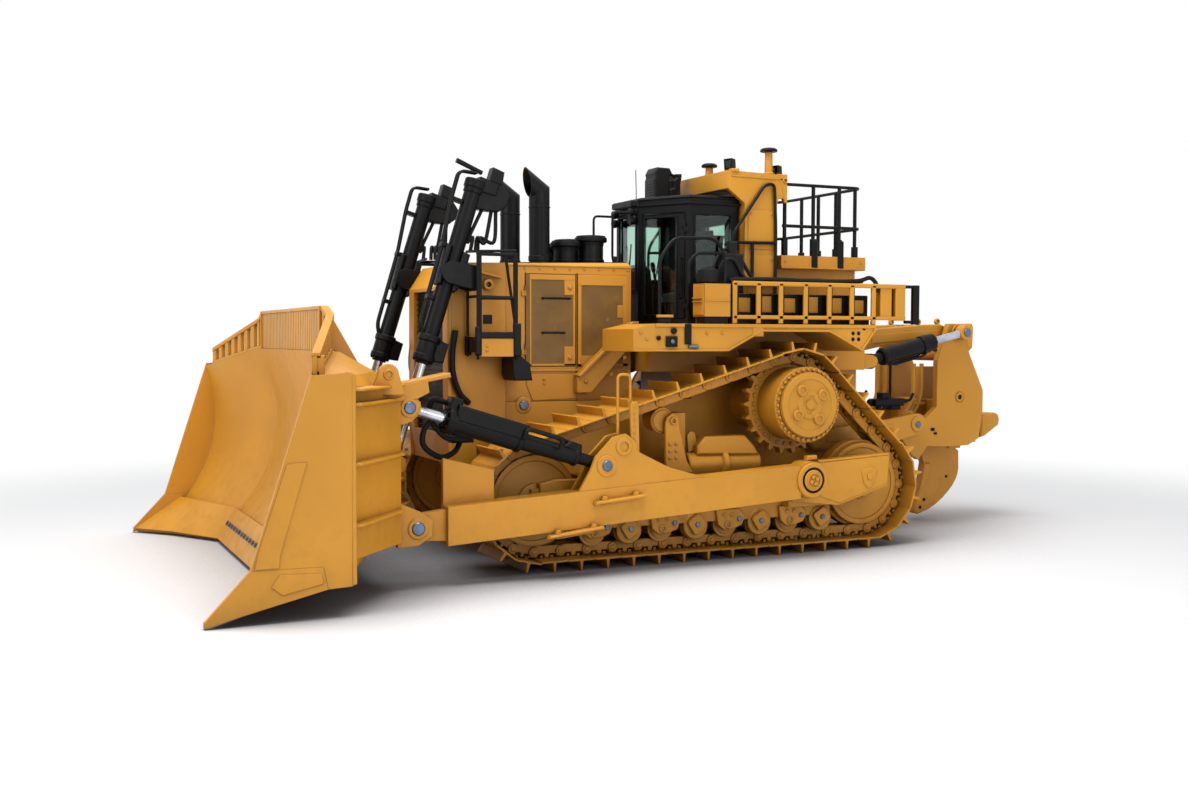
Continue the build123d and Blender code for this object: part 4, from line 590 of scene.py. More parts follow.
STATION_HEIGHT = SHOE_TOP + GROUSER / 2 - 0.001
LOOP = along_loop(np.zeros(1), STATION_HEIGHT)[2]
LINK_PITCH = 0.3175
LINKS = round(LOOP / LINK_PITCH)
shoe_tread, shoe_angle, _ = along_loop((np.arange(LINKS) + 0.5) * LOOP / LINKS, STATION_HEIGHT)
pin_tread, pin_angle, _ = along_loop(np.arange(LINKS) * LOOP / LINKS, STATION_HEIGHT)
print("links in each track", LINKS, "loop", round(LOOP, 3))


def chain_frames(tread, angle, height, stretch=1.0, x=TRACK_X):
    """Placement matrices along the chain: local X across the track, Y along it, Z outward."""
    matrices = np.zeros((len(angle), 4, 4))
    matrices[:, 0, 0] = 1
    matrices[:, 1, 1], matrices[:, 2, 1] = -np.sin(angle) * stretch, np.cos(angle) * stretch
    matrices[:, 1, 2], matrices[:, 2, 2] = np.cos(angle), np.sin(angle)
    matrices[:, 0, 3] = x
    matrices[:, 1, 3] = tread[:, 0] + height * np.cos(angle)
    matrices[:, 2, 3] = tread[:, 1] + height * np.sin(angle)
    matrices[:, 3, 3] = 1
    return matrices


# %% [markdown]
# A shoe is a rolled bar: a thin plate whose leading edge curls down a little, with the grouser standing
# on it. Its outline is drawn once along the track and carried across it. Rounding the grouser's tip a
# little is enough to catch a line of light on every bar.

# %% Shoes with their grousers
shoe_outline = [(-0.158, 0.15), (-0.15, 0.141), (0.146, 0.141), (0.157, 0.132), (0.164, 0.138),
                (0.152, 0.161), (0.026, 0.164), (0.019, 0.172), (0.012, 0.258), (0.007, 0.264),
                (-0.007, 0.264), (-0.012, 0.258), (-0.019, 0.172), (-0.026, 0.164), (-0.15, 0.164)]
shoe = plate(shoe_outline, -SHOE_HALF, SHOE_HALF, 0.004)
shoe_bolts = bolts([(x, -0.085, 0.164) for x in (-0.135, -0.078, 0.078, 0.135)], UP, 0.017)
nuts = bolts([(x, y, 0.141) for x in (-0.105, 0.105) for y in (-0.062, 0.062)], (0, 0, -1), 0.022, 0.03)
shoes = stamped(shape_join([shoe, shoe_bolts, nuts]), chain_frames(shoe_tread, shoe_angle, 0.0))
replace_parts(add_piece("track_shoes", both(shoes), yellow, smooth=30), "track_left", "track_right")

# %% [markdown]
# A link is a forging. Seen from the side it is a long plate with a rail along one edge, a seat for the
# shoe along the other, two windows for the shoe nuts, and a round boss for the pin at each end. Round
# the wheels the links keep their rails on the tread, so their spacing there is a little shorter.

# %% Links, pins and bushings
def link_outline(half=0.15):
    """Side view of one link: (along, outward) points with bosses at both ends and two nut windows."""
    turn = np.radians(np.arange(-60, 91, 30))
    right = np.stack([half + 0.022 + 0.055 * np.cos(turn), 0.07 + 0.06 * np.sin(turn)], axis=1)
    top = [(0.118, 0.138), (0.112, 0.096), (0.03, 0.096), (0.024, 0.138), (-0.024, 0.138), (-0.03, 0.096),
           (-0.112, 0.096), (-0.118, 0.138)]
    left = right[::-1] * (-1, 1)
    foot = [(-0.12, 0.002), (0.12, 0.002)]
    return np.vstack([right, top, left, foot])


pitch = np.linalg.norm(np.roll(pin_tread, -1, 0) - pin_tread, axis=1)
middle = (pin_tread + np.roll(pin_tread, -1, 0)) / 2
slope = np.arctan2(*(np.roll(pin_tread, -1, 0) - pin_tread).T[::-1]) - math.pi / 2
link_pair = shape_join([plate(link_outline(), x - 0.024, x + 0.024, 0.006) for x in (-0.1, 0.1)])
links = stamped(link_pair, chain_frames(middle, slope, 0.0)
                @ np.stack([np.diag((1, length / LINK_PITCH, 1, 1)) for length in pitch]))
outer_boss = [drum((x0, 0, 0.07), (x1, 0, 0.07), 0.058, 0.006, 20)
              for x0, x1 in ((0.118, 0.142), (-0.142, -0.118))]
pin_ends = [drum((x0, 0, 0.07), (x1, 0, 0.07), 0.03, 0.005, 16)
            for x0, x1 in ((0.138, 0.152), (-0.152, -0.138))]
bushing = [drum((-0.08, 0, 0.07), (0.08, 0, 0.07), 0.044, 0.003, 16)]
pins = stamped(shape_join(outer_boss + pin_ends + bushing), chain_frames(pin_tread, pin_angle, 0.0))
add_piece("track_links", pair(links, pins), yellow, smooth=30)
print("link pitch", pitch.min().round(3), "to", pitch.max().round(3))

# %% [markdown]
# ## Wheels of the running gear
# The idlers are cast wheels with a thick rim and a deep dish. The sprocket is bolted up from toothed
# segments, and the round cover outside it hides the last gears: its edge carries a close ring of bolts,
# and four plugs sit in raised pads round a central cap.

# %% Hub cover, sprocket bolts and idler rims
SPROCKET = (1.39, 1.765)
cover = revolve([(0.372, -0.004), (0.38, 0.006), (0.376, 0.02), (0.3, 0.026), (0.296, 0.02), (0.17, 0.02),
                 (0.164, 0.03), (0.11, 0.034), (0.104, 0.026), (0.06, 0.026), (0.056, 0.04),
                 (0.0005, 0.042)], 48)
cover = turned(cover, pointing((1.95, *SPROCKET), ACROSS))
pads = [turned(revolve([(0.068, 0), (0.066, 0.026), (0.058, 0.034), (0.04, 0.034), (0.038, 0.024),
                        (0.0005, 0.024)], 24), pointing(place, ACROSS))
        for place in ring_of((1.968, *SPROCKET), ACROSS, 0.205, 4, 0.6)]
webs = [plate([(SPROCKET[0] + math.cos(a) * r + math.sin(a) * w,
                SPROCKET[1] + math.sin(a) * r - math.cos(a) * w)
               for r, w in ((0.08, 0.052), (0.21, 0.036), (0.21, -0.036), (0.08, -0.052))], 1.962, 1.986,
              0.006) for a in (0.6 + math.pi / 2 * k + math.pi / 2 for k in range(4))]
rim = turned(revolve([(0.396, 0), (0.44, 0), (0.444, 0.006), (0.444, 0.03), (0.438, 0.036), (0.396, 0.036)],
                     48), pointing((1.88, *SPROCKET), ACROSS))
rim_bolts = stamped(bolt_head(0.02, 0.024), [pointing(p, ACROSS) for p in
                                              ring_of((1.916, *SPROCKET), ACROSS, 0.414, 36)])
segment_bolts = stamped(bolt_head(0.021, 0.022), [pointing(p, ACROSS) for p in
                                                  ring_of((1.502, *SPROCKET), ACROSS, 0.487, 30)])
add_piece("hub_cover", pair(cover, rim, *pads, *webs), yellow, smooth=32)
add_piece("hub_bolts", pair(rim_bolts, segment_bolts), yellow, smooth=30)

dish_profile = [(0.499, 0.0), (0.499, 0.01), (0.47, 0.016), (0.44, 0.008), (0.425, -0.02), (0.3, -0.04),
                (0.2, -0.03), (0.19, 0.012), (0.12, 0.018), (0.116, 0.04), (0.0005, 0.042)]
idler_faces = [turned(revolve(dish_profile, 48), pointing((TRACK_X + side * 0.147, y, 0.766), (side, 0, 0)))
               for y in (-1.921, 2.405) for side in (1, -1)]
add_piece("idler_faces", pair(*idler_faces), yellow, smooth=30)

# %% [markdown]
# ## Roller frame
# The rollers hang in pairs from pinned bogies, so that the frame rides smoothly over a rock. From the
# side one sees, at every second roller, a round cap held by a square plate turned on its corner, and
# between them a shaped bogie plate with its own pin. Above them a carrier roller on a tall bracket holds
# up the chain, and a long housing holds the spring that keeps the track tight.

# %% Bogies and roller caps
ROLLER_Y = -1.24 + 0.425 * np.arange(8)
ROLLER_Z = 0.3903
cap_parts, bogie_parts, pin_parts = [], [], []
for number, y in enumerate(ROLLER_Y):
    if number % 2 == 1:
        square = [(y + 0.118 * math.cos(a), ROLLER_Z + 0.02 + 0.118 * math.sin(a)) for a in
                  np.radians([-20, -5, 70, 85, 160, 175, 250, 265])]
        cap_parts.append(drum((1.64, y, ROLLER_Z), (1.7, y, ROLLER_Z), 0.156, 0.012, 32))
        cap_parts.append(plate(square, 1.7, 1.742, 0.007))
        pin_parts.append(drum((1.735, y, ROLLER_Z + 0.02), (1.757, y, ROLLER_Z + 0.02), 0.03, 0.005, 20))
    else:
        bogie = [(y - 0.175, 0.56), (y - 0.15, 0.395), (y - 0.075, 0.33), (y + 0.04, 0.33), (y + 0.165, 0.37),
                 (y + 0.2, 0.44), (y + 0.19, 0.5), (y + 0.12, 0.56)]
        bogie_parts.append(plate(bogie, 1.69, 1.73, 0.007))
        bogie_parts.append(drum((1.725, y - 0.02, 0.39), (1.742, y - 0.02, 0.39), 0.048, 0.006, 20, 0.026))
        bogie_parts.append(bolts([(1.73, y - 0.07, 0.5), (1.73, y + 0.03, 0.5)], ACROSS, 0.02))
        pin_parts.append(drum((1.728, y + 0.13, 0.445), (1.748, y + 0.13, 0.445), 0.028, 0.005, 20))
add_piece("roller_caps", pair(*cap_parts), yellow)
add_piece("bogie_plates", pair(*bogie_parts), yellow)
add_piece("bogie_pins", pair(*pin_parts), pin_steel)

# %% Carrier roller, spring housing and idler blocks
bracket = [(-0.33, 1.0), (-0.345, 1.56), (-0.325, 1.64), (-0.25, 1.69), (-0.175, 1.65), (-0.16, 1.52),
           (-0.06, 1.13), (0.02, 1.0)]
bracket_bolts = [(1.655, y, z) for y in (-0.285, -0.205) for z in (1.18, 1.26, 1.34)]
carrier = shape_join([
    plate(bracket, 1.6, 1.655, 0.008), bolts(bracket_bolts, ACROSS, 0.017),
    drum((1.655, -0.245, 1.6), (1.676, -0.245, 1.6), 0.045, 0.006, 24, 0.024),
    drum((1.32, -0.34, 1.6), (1.59, -0.34, 1.6), 0.13, 0.012, 32),
    drum((1.54, -0.34, 1.6), (1.575, -0.34, 1.6), 0.15, 0.01, 32)])
add_piece("carrier_rollers", both(carrier), yellow)

housing = revolve([(0.0005, 0.0), (0.12, 0.0), (0.135, 0.015), (0.135, 0.43), (0.165, 0.44), (0.175, 0.45),
                   (0.175, 0.5), (0.165, 0.51), (0.13, 0.52), (0.13, 0.94), (0.115, 0.96), (0.0005, 0.96)],
                  40)
housing = turned(housing, pointing((1.52, -0.02, 1.085), (0, 1, 0)))
flange_bolts = bolts(ring_of((1.52, 0.43, 1.085), (0, 1, 0), 0.15, 12), (0, -1, 0), 0.015)
roof_outline = [(0.09, 1.2), (0.09, 1.3), (0.19, 1.405), (0.72, 1.405), (0.84, 1.29), (0.92, 1.17)]
spring_roof = shape_join([plate(roof_outline, 1.38, 1.64, 0.022),
                          plate([(0.03, 1.22), (0.01, 1.42), (0.05, 1.465), (0.11, 1.455), (0.13, 1.4),
                                 (0.16, 1.25)], 1.48, 1.52, 0.008)])
idler_block = plate([(-1.886, 0.77), (-1.896, 0.958), (-1.7, 1.0), (-1.386, 0.99), (-1.36, 0.858),
                     (-1.42, 0.76)], 1.6, 1.7, 0.01)
rear_block = plate([(2.25, 0.64), (2.23, 0.74), (2.38, 0.8), (2.48, 0.76), (2.47, 0.65), (2.39, 0.6)],
                   1.64, 1.7, 0.01)
rear_bolts = bolts([(1.7, 2.3, 0.68), (1.7, 2.42, 0.7), (1.7, 2.36, 0.745)], ACROSS, 0.02)
add_piece("spring_housings", pair(housing, flange_bolts), yellow)
add_piece("spring_roofs", both(spring_roof), yellow)
add_piece("idler_blocks", pair(idler_block, rear_block, rear_bolts), yellow)

# %% [markdown]
# ## The blade
# A U-blade is a welded box. Its face is a rolled plate, the corners are bent forward in wings, and the
# end plates are stiffened from behind by a stepped back plate with level ribs. Raised wear plates are
# welded to the end plates, and the cutting edge is bolted on, because it wears away first.

# %% End plates, ribs and eyes
END_X = 3.179
column = [(-4.335, 2.225), (-4.285, 2.215), (-4.285, 0.3), (-4.335, 0.285)]
blade_ends = [plate(column, 2.96, END_X - 0.014, 0.01)]


def level_rib(z, depth, thick=0.03):
    """Level rib behind the wing, from the column in to the straight back of the blade."""
    outline = [(3.1, -4.3), (3.14, -4.3), (3.15, -4.225), (2.3, -3.6 + depth * 0.2),
               (2.15, -3.59), (2.15, -3.64)]
    return plate(outline, z - thick / 2, z + thick / 2, 0.006, across="z")


ribs = [level_rib(z, 0.12) for z in (1.935, 1.39, 0.83)]
cap_rib = plate([(3.15, -4.3), (3.15, -4.2), (2.23, -3.56), (1.7, -3.56), (1.7, -3.7), (3.02, -4.42)],
                2.055, 2.08, 0.006, across="z")
eye_angle = np.radians(np.arange(0, 181, 22.5))
eye_top = [(-3.807 + 0.105 * math.cos(a), 2.185 + 0.105 * math.sin(a)) for a in eye_angle]
lifting_eye = plate(eye_top + [(-3.985, 1.985), (-3.64, 1.985)], 2.48, 2.54, 0.008)
eye_ring = drum((2.47, -3.807, 2.185), (2.552, -3.807, 2.185), 0.052, 0.006, 24, 0.036)
add_piece("blade_end_plates", pair(*blade_ends), yellow, "blade")
add_piece("blade_ribs", pair(*ribs + [cap_rib]), yellow, "blade")
add_piece("blade_lifting_eyes", pair(lifting_eye, eye_ring), yellow, "blade")

# %% [markdown]
# The rock guard stops stones from rolling over the top onto the hood. It is a fence: close bars under a
# rail across the middle, and wider bars in the two wings, through which the operator can see the
# corners of the blade. Every bar stands on the top edge of the blade and ends under the sloping rail.

# %% Rock guard of separate bars
GUARD_KNOTS = np.array([(0.0, -4.24, 2.405, 2.86), (1.6, -4.24, 2.405, 2.86), (1.85, -4.24, 2.405, 2.775),
                        (2.64, -4.521, 2.258, 2.506), (2.95, -4.632, 2.2, 2.4)])  # x, front y, foot, top


def guard_line(x):
    """Front face, foot and top of the guard at distances from the middle of the blade."""
    return np.stack([np.interp(np.abs(x), GUARD_KNOTS[:, 0], GUARD_KNOTS[:, k]) for k in (1, 2, 3)], axis=-1)


def guard_bar(x, width, depth=0.042):
    """One upright bar, whose top and foot follow the slope of the guard."""
    ends = np.array([x - width / 2, x + width / 2])
    (y0, f0, t0), (y1, f1, t1) = guard_line(ends)
    loops = [[(ends[0], y0, f0), (ends[0], y0 + depth, f0), (ends[1], y1 + depth, f1), (ends[1], y1, f1)],
             [(ends[0], y0, t0 - 0.03), (ends[0], y0 + depth, t0 - 0.03), (ends[1], y1 + depth, t1 - 0.03),
              (ends[1], y1, t1 - 0.03)]]
    return rings(loops)


def guard_rail(low, high, offset, height, depth=0.06):
    """A rail along the guard between two distances from the middle, its top face `offset` below the top."""
    x = np.linspace(low, high, 12)
    y, foot, top = guard_line(x).T
    z = (top if offset >= 0 else foot + height) - max(offset, 0)
    loops = np.stack([np.stack([x, y - 0.006, z - height], 1), np.stack([x, y + depth, z - height], 1),
                      np.stack([x, y + depth, z], 1), np.stack([x, y - 0.006, z], 1)], axis=1)
    return rings(loops)


middle_bars = [guard_bar(x, 0.066) for x in np.arange(-1.54, 1.55, 0.088)]
middle_web = plate([(-1.6, 2.42), (1.6, 2.42), (1.6, 2.84), (-1.6, 2.84)], -4.212, -4.204, 0.001, across="y")
wing_bars = [guard_bar(x, 0.072) for x in np.arange(1.68, 2.93, 0.155)]
guard_post = plate([(-4.262, 2.408), (-4.262, 2.858), (-4.19, 2.858), (-3.85, 2.262), (-4.11, 2.404)],
                   1.572, 1.6, 0.006)
end_post = [guard_bar(2.935, 0.03, 0.11)]
middle_guard = shape_join(middle_bars + [middle_web, guard_rail(-1.6, 1.6, 0.0, 0.035)])
wing_guard = shape_join(wing_bars + end_post + [guard_post, guard_rail(1.6, 2.95, 0.0, 0.045, 0.075),
                                                guard_rail(1.6, 2.95, -1.0, 0.03)])
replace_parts(add_piece("rock_guard_bars", shape_join([middle_guard, both(wing_guard)]), yellow, "blade",
                      smooth=20), "rock_guard")

# %% Cutting edge bolts and corner wear plates
edge_normal = (0.0, -0.866, 0.501)
edge_places = [(x, -4.666, 0.253) for x in np.arange(-1.72, 1.73, 0.172)]
add_piece("edge_bolts", bolts(edge_places, edge_normal, 0.024, 0.012), pin_steel, "blade")
corner_line = [(-4.985, 0.44), (-4.61, 0.425), (-4.59, 0.33), (-4.96, 0.25), (-5.06, 0.33)]
add_piece("corner_wear_plates", both(plate(corner_line, END_X - 0.016, END_X - 0.001, 0.005)), yellow,
          "blade")

# %% [markdown]
# ## Push arms
# Each push arm is a long box beam from the outside of the roller frame to the foot of the blade. On top
# stands the bracket of the tilt cylinder, with round pads at its pin and at a spare eye. Small flanged
# steps are welded to the side, and a hand loop helps a person climb onto the track.

# %% Arm bracket, steps and hand loop
ARM_OUT = 2.165
TILT_FOOT, SPARE_EYE, TILT_EYE = (-1.309, 1.174), (-1.106, 1.373), (-3.485, 1.84)  # (y, z) of each pin
BLADE_PIN, ARM_TRUNNION = (-3.405, 0.621), (1.298, 0.908)
bracket_pads = [drum((2.14, y, z), (ARM_OUT, y, z), r, 0.007, 36, b) for y, z, r, b in
                ((*TILT_FOOT, 0.118, None), (*SPARE_EYE, 0.098, 0.052))]
bracket_pads += [drum((2.1, *SPARE_EYE), (2.142, *SPARE_EYE), 0.098, 0.004, 36)]


def side_step(y0, z0, y1, z1):
    """Step on the side of the arm: a thin tongue with rounded corners and a thicker root."""
    slope = (z1 - z0) / (y1 - y0)
    tongue = [(y0, z0), (y1, z1), (y1 - 0.02, z1 + 0.035), (y0 + 0.02, z0 + 0.035)]
    root = [(y0 + 0.12, z0 - 0.028 + 0.12 * slope), (y1 - 0.12, z1 - 0.028 - 0.12 * slope), (y1 - 0.1, z1),
            (y0 + 0.1, z0)]
    lugs = [plate([(y - 0.035, z0 + slope * (y - y0) + 0.03), (y + 0.035, z0 + slope * (y - y0) + 0.03),
                   (y + 0.02, z0 + slope * (y - y0) + 0.075), (y - 0.02, z0 + slope * (y - y0) + 0.075)],
                  ARM_OUT + 0.02, ARM_OUT + 0.065, 0.006) for y in (y0 + 0.12, y1 - 0.12)]
    return shape_join([plate(tongue, ARM_OUT - 0.004, ARM_OUT + 0.09, 0.01),
                       plate(root, ARM_OUT - 0.004, ARM_OUT + 0.03, 0.008), *lugs])


steps = [side_step(-1.48, 0.77, -0.87, 0.826), side_step(-2.02, 0.438, -1.37, 0.51)]
post_strap = plate([(-1.0, 1.3), (-1.01, 1.82), (-0.99, 1.855), (-0.93, 1.855), (-0.915, 1.82), (-0.9, 1.26)],
                   2.08, 2.12, 0.006)
post_bolts = bolts([(2.12, -0.965, z) for z in np.arange(1.38, 1.82, 0.07)], ACROSS, 0.012, 0.008)
hand_loop = tube(rounded_path([(2.05, -1.134, 1.4), (2.05, -1.134, 2.145), (2.05, -0.985, 2.145),
                               (2.05, -0.985, 1.8)], 0.055), 0.016)
guard_flange = plate([(-3.088, 0.82), (-3.088, 1.31), (-2.53, 1.17), (-2.53, 0.78)], 1.975, 1.99, 0.006)
add_piece("arm_bracket_pads", pair(*bracket_pads), yellow, "push_arms")
add_piece("arm_steps", pair(*steps), yellow, "push_arms")
add_piece("arm_posts", pair(post_strap, post_bolts, hand_loop, guard_flange), yellow, "push_arms")
add_piece("arm_pins", pair(drum((2.15, *TILT_FOOT), (2.184, *TILT_FOOT), 0.058, 0.008, 28)), pin_steel,
          "push_arms")
blade_pins = [drum((2.158, *BLADE_PIN), (2.182, *BLADE_PIN), 0.066, 0.008, 28),
              drum((2.15, *TILT_EYE), (2.176, *TILT_EYE), 0.06, 0.008, 28)]
blade_bosses = [drum((2.155, *BLADE_PIN), (2.172, *BLADE_PIN), 0.11, 0.008, 32, 0.068),
                drum((2.148, *TILT_EYE), (2.166, *TILT_EYE), 0.1, 0.008, 32, 0.062)]
add_piece("blade_pins", pair(*blade_pins), pin_steel, "blade")
add_piece("blade_pin_bosses", pair(*blade_bosses), yellow, "blade")
cover_lip = plate([(-3.64, 2.03), (-3.64, 2.075), (-3.06, 2.185), (-3.05, 2.14)], 1.92, 2.16, 0.008)
cover_web = plate([(-3.62, 1.9), (-3.62, 2.06), (-3.3, 2.115), (-3.28, 1.99), (-3.4, 1.93)], 2.15, 2.164,
                  0.004)
add_piece("tilt_pin_covers", pair(cover_lip, cover_web), yellow, "blade")

# %% [markdown]
# The arm swings on a trunnion at its rear. Seen from outside it is a ring, a dark gap, and a cap with
# four small bosses; the gap is a thin black disc of painted shade. Behind it the side plate of the roller
# frame carries on past the rear idler.

# %% Trunnion caps and rear side plates
trunnion_ring = drum((2.15, *ARM_TRUNNION), (2.196, *ARM_TRUNNION), 0.205, 0.012, 44, 0.15)
add_piece("trunnion_rings", both(trunnion_ring), yellow, "push_arms")
trunnion_cap = [drum((2.18, *ARM_TRUNNION), (2.205, *ARM_TRUNNION), 0.122, 0.01, 40),
                drum((2.2, *ARM_TRUNNION), (2.215, *ARM_TRUNNION), 0.09, 0.006, 40, 0.074)]
trunnion_cap += [turned(revolve([(0.026, 0), (0.024, 0.016), (0.0005, 0.018)], 16), pointing(p, ACROSS))
                 for p in ring_of((2.204, *ARM_TRUNNION), ACROSS, 0.042, 4, 0.4)]
add_piece("trunnion_caps", pair(*trunnion_cap), yellow)
# Painted shade: a thin black disc fills the gap between the ring and the cap.
add_piece("trunnion_gap_shade", both(drum((2.176, *ARM_TRUNNION), (2.181, *ARM_TRUNNION), 0.148, 0.002, 40)),
          black)
shield = [(2.17, 0.95), (2.21, 0.985), (2.36, 0.995), (2.4, 0.955), (2.36, 0.83), (2.3, 0.745),
          (2.255, 0.745), (2.205, 0.81)]
shield_ring = plate(shield, 1.898, 1.925, 0.012)
shield_eye = drum((1.92, 2.285, 0.885), (1.942, 2.285, 0.885), 0.042, 0.008, 24)
rear_lip = plate([(1.56, 1.075), (2.59, 1.13), (2.59, 1.158), (1.56, 1.105)], 1.78, 1.905, 0.008)
rear_face = plate([(1.52, 0.7), (1.56, 1.07), (2.585, 1.128), (2.555, 0.79), (1.86, 0.585)], 1.892, 1.91,
                  0.008)
rear_lug = plate([(1.28, 1.12), (1.29, 1.18), (1.42, 1.185), (1.43, 1.14)], 2.0, 2.08, 0.008)
add_piece("rear_side_plates", pair(shield_ring, shield_eye, rear_lip, rear_face, rear_lug), yellow)

# %% [markdown]
# ## Lift cylinders
# Two long black cylinders raise the blade. Each hangs in a trunnion on the radiator guard. A plain
# tube would look like a toy: the real ones carry a square head with a cushion valve, a wide hose guard
# behind the head, steel oil pipes clamped along the barrel, a yoke at the trunnion and a bolted gland.
# All of it rides on the barrel, the hoses too, because they leave from its head.

# %% A frame along each cylinder
LIFT_X = 0.886
LIFT_TRUNNION, LIFT_EYE = np.array((-2.655, 3.255)), np.array((-3.31, 1.16))
LIFT_DOWN = (LIFT_EYE - LIFT_TRUNNION) / np.linalg.norm(LIFT_EYE - LIFT_TRUNNION)


def on_cylinder(origin, down, x):
    """Placement whose +Z runs down a cylinder's axis, +X is across the machine, and +Y is behind it."""
    matrix = np.eye(4)
    matrix[:3, 2] = (0, down[0], down[1])
    matrix[:3, 0] = ACROSS
    matrix[:3, 1] = np.cross(matrix[:3, 2], matrix[:3, 0])
    matrix[:3, 3] = (x, origin[0], origin[1])
    return matrix


def across_plate(outline, low, high, edge=0.006):
    """Plate in a cylinder's own frame: outline (behind, down) carried across the machine."""
    return plate(outline, low, high, edge)


LIFT_FRAME = on_cylinder(LIFT_TRUNNION, LIFT_DOWN, LIFT_X)
back = 1 if LIFT_FRAME[1, 1] > 0 else -1
lift_head = [drum((0, 0, -1.085), (0, 0, -0.985), 0.12, 0.01, 36, 0.09),
             drum((0, 0, -0.99), (0, 0, -0.93), 0.108, 0.006, 36, 0.09),
             across_plate([(back * 0.02, -1.13), (back * 0.25, -1.12), (back * 0.25, -0.98),
                           (back * 0.02, -0.96)], -0.085, 0.085, 0.012),
             across_plate([(back * 0.06, -1.115), (back * 0.27, -1.15), (back * 0.405, -1.04),
                           (back * 0.415, -0.93), (back * 0.34, -0.83), (back * 0.2, -0.79),
                           (back * 0.06, -0.775)], -0.07, 0.07, 0.012),
             across_plate([(back * 0.13, -1.28), (back * 0.27, -1.27), (back * 0.29, -1.12),
                           (back * 0.13, -1.12)], -0.08, 0.08, 0.012)]
top_bar = across_plate([(-back * 0.28, -1.24), (back * 0.04, -1.205), (back * 0.04, -1.165),
                        (-back * 0.28, -1.195)], -0.035, 0.035, 0.008)
lift_gland = [drum((0, 0, 0.72), (0, 0, 0.8), 0.128, 0.012, 36),
              drum((0, 0, 0.94), (0, 0, 1.015), 0.122, 0.01, 36),
              drum((0, 0, 1.01), (0, 0, 1.05), 0.086, 0.006, 36, 0.0585),
              across_plate([(back * 0.08, 0.74), (back * 0.22, 0.76), (back * 0.22, 0.98),
                            (back * 0.08, 1.0)], -0.06, 0.06, 0.012),
              bolts(ring_of((0, 0, 1.015), UP, 0.104, 8), UP, 0.012)]
yoke = [drum((-0.128, 0, 0), (-0.07, 0, 0), 0.118, 0.012, 36),
        drum((0.07, 0, 0), (0.128, 0, 0), 0.118, 0.012, 36),
        across_plate([(-back * 0.135, -0.3), (-back * 0.068, -0.29), (-back * 0.068, 0.17),
                      (-back * 0.12, 0.16)], -0.1, 0.1, 0.02),
        across_plate([(back * 0.068, -0.27), (back * 0.155, -0.26), (back * 0.16, 0.1), (back * 0.1, 0.2),
                      (back * 0.068, 0.19)], -0.1, 0.1, 0.02)]
add_piece("lift_cylinder_heads", both(turned(shape_join(lift_head + lift_gland + yoke), LIFT_FRAME)), black,
          "lift_barrels")
add_piece("lift_cylinder_bar", turned(top_bar, LIFT_FRAME), black, "lift_barrels")

# %% Oil pipes and hoses of the lift cylinders
front_pipe = rounded_path([(-0.03, -back * 0.02, -1.16), (-0.03, -back * 0.22, -1.12),
                           (-0.03, -back * 0.215, -0.82), (-0.03, -back * 0.165, -0.3),
                           (-0.03, -back * 0.15, 0.62), (-0.03, -back * 0.06, 0.8)], 0.07)
second_pipe = front_pipe * (-1, 1, 1)
clamps = [across_plate([(-back * 0.09, z), (-back * 0.2 + back * 0.025 * (z + 0.9), z),
                        (-back * 0.2 + back * 0.025 * (z + 0.9), z + 0.045), (-back * 0.09, z + 0.045)],
                       -0.055, 0.055, 0.006) for z in (-0.82, -0.3, 0.3)]
pipes = shape_join([tube(front_pipe, 0.017), tube(second_pipe, 0.017), *clamps])
add_piece("lift_cylinder_pipes", both(turned(pipes, LIFT_FRAME)), black, "lift_barrels")


def in_frame(matrix, points):
    """Points of a cylinder's own frame, given in the machine's frame."""
    return np.asarray(points) @ matrix[:3, :3].T + matrix[:3, 3]


HOSE_ROUTES = (  # where it leaves the head plate (behind, down), its belly, and where it meets the guard
    ((0.16, -0.8), (0.1, -0.4), (-2.42, 3.36), 0.9), ((0.27, -0.82), (0.3, -0.46), (-2.34, 3.36), 0.84),
    ((0.32, -0.84), (0.4, -0.5), (-2.3, 3.36), 0.8))
hoses = []
for leave, belly, meet, x in HOSE_ROUTES:
    knots = in_frame(LIFT_FRAME, [(0.0, back * leave[0], leave[1]), (0.0, back * belly[0], belly[1])])
    hoses.append(tube(flowing_path(np.vstack([knots, [(x, meet[0] + 0.04, meet[1] + 0.3),
                                                      (x - 0.02, meet[0] + 0.02, meet[1] + 0.14)]])),
                      0.022))
add_piece("lift_hoses", pair(*hoses), hose_rubber, "lift_barrels")

# %% [markdown]
# ## Tilt cylinders
# Each tilt cylinder is the brace between the push arm and the top of the blade. A folded steel shield
# lies over the barrel, and a welded grab frame stands on the gland end.

# %% Tilt cylinder shield, collar and grab frame
TILT_LOW, TILT_HIGH = np.array(TILT_FOOT), np.array(TILT_EYE)
TILT_UP = (TILT_HIGH - TILT_LOW) / np.linalg.norm(TILT_HIGH - TILT_LOW)
TILT_FRAME = on_cylinder(TILT_LOW, TILT_UP, 2.04)
above = 1 if TILT_FRAME[2, 1] > 0 else -1
shield_section = [(-0.135, 0.02), (-0.135, 0.155), (-0.118, 0.175), (0.118, 0.175), (0.135, 0.155),
                  (0.135, 0.02), (0.125, 0.02), (0.125, 0.15), (0.112, 0.165), (-0.112, 0.165),
                  (-0.125, 0.15), (-0.125, 0.02)]
shield_roof = rings([[(x, above * y, z) for x, y in shield_section] for z in (0.98, 0.985, 1.775, 1.78)])
collars = [drum((0, 0, z0), (0, 0, z1), r, 0.01, 36) for z0, z1, r in
           ((1.76, 1.85, 0.15), (0.99, 1.05, 0.128), (0.32, 0.37, 0.102), (1.85, 1.875, 0.09))]
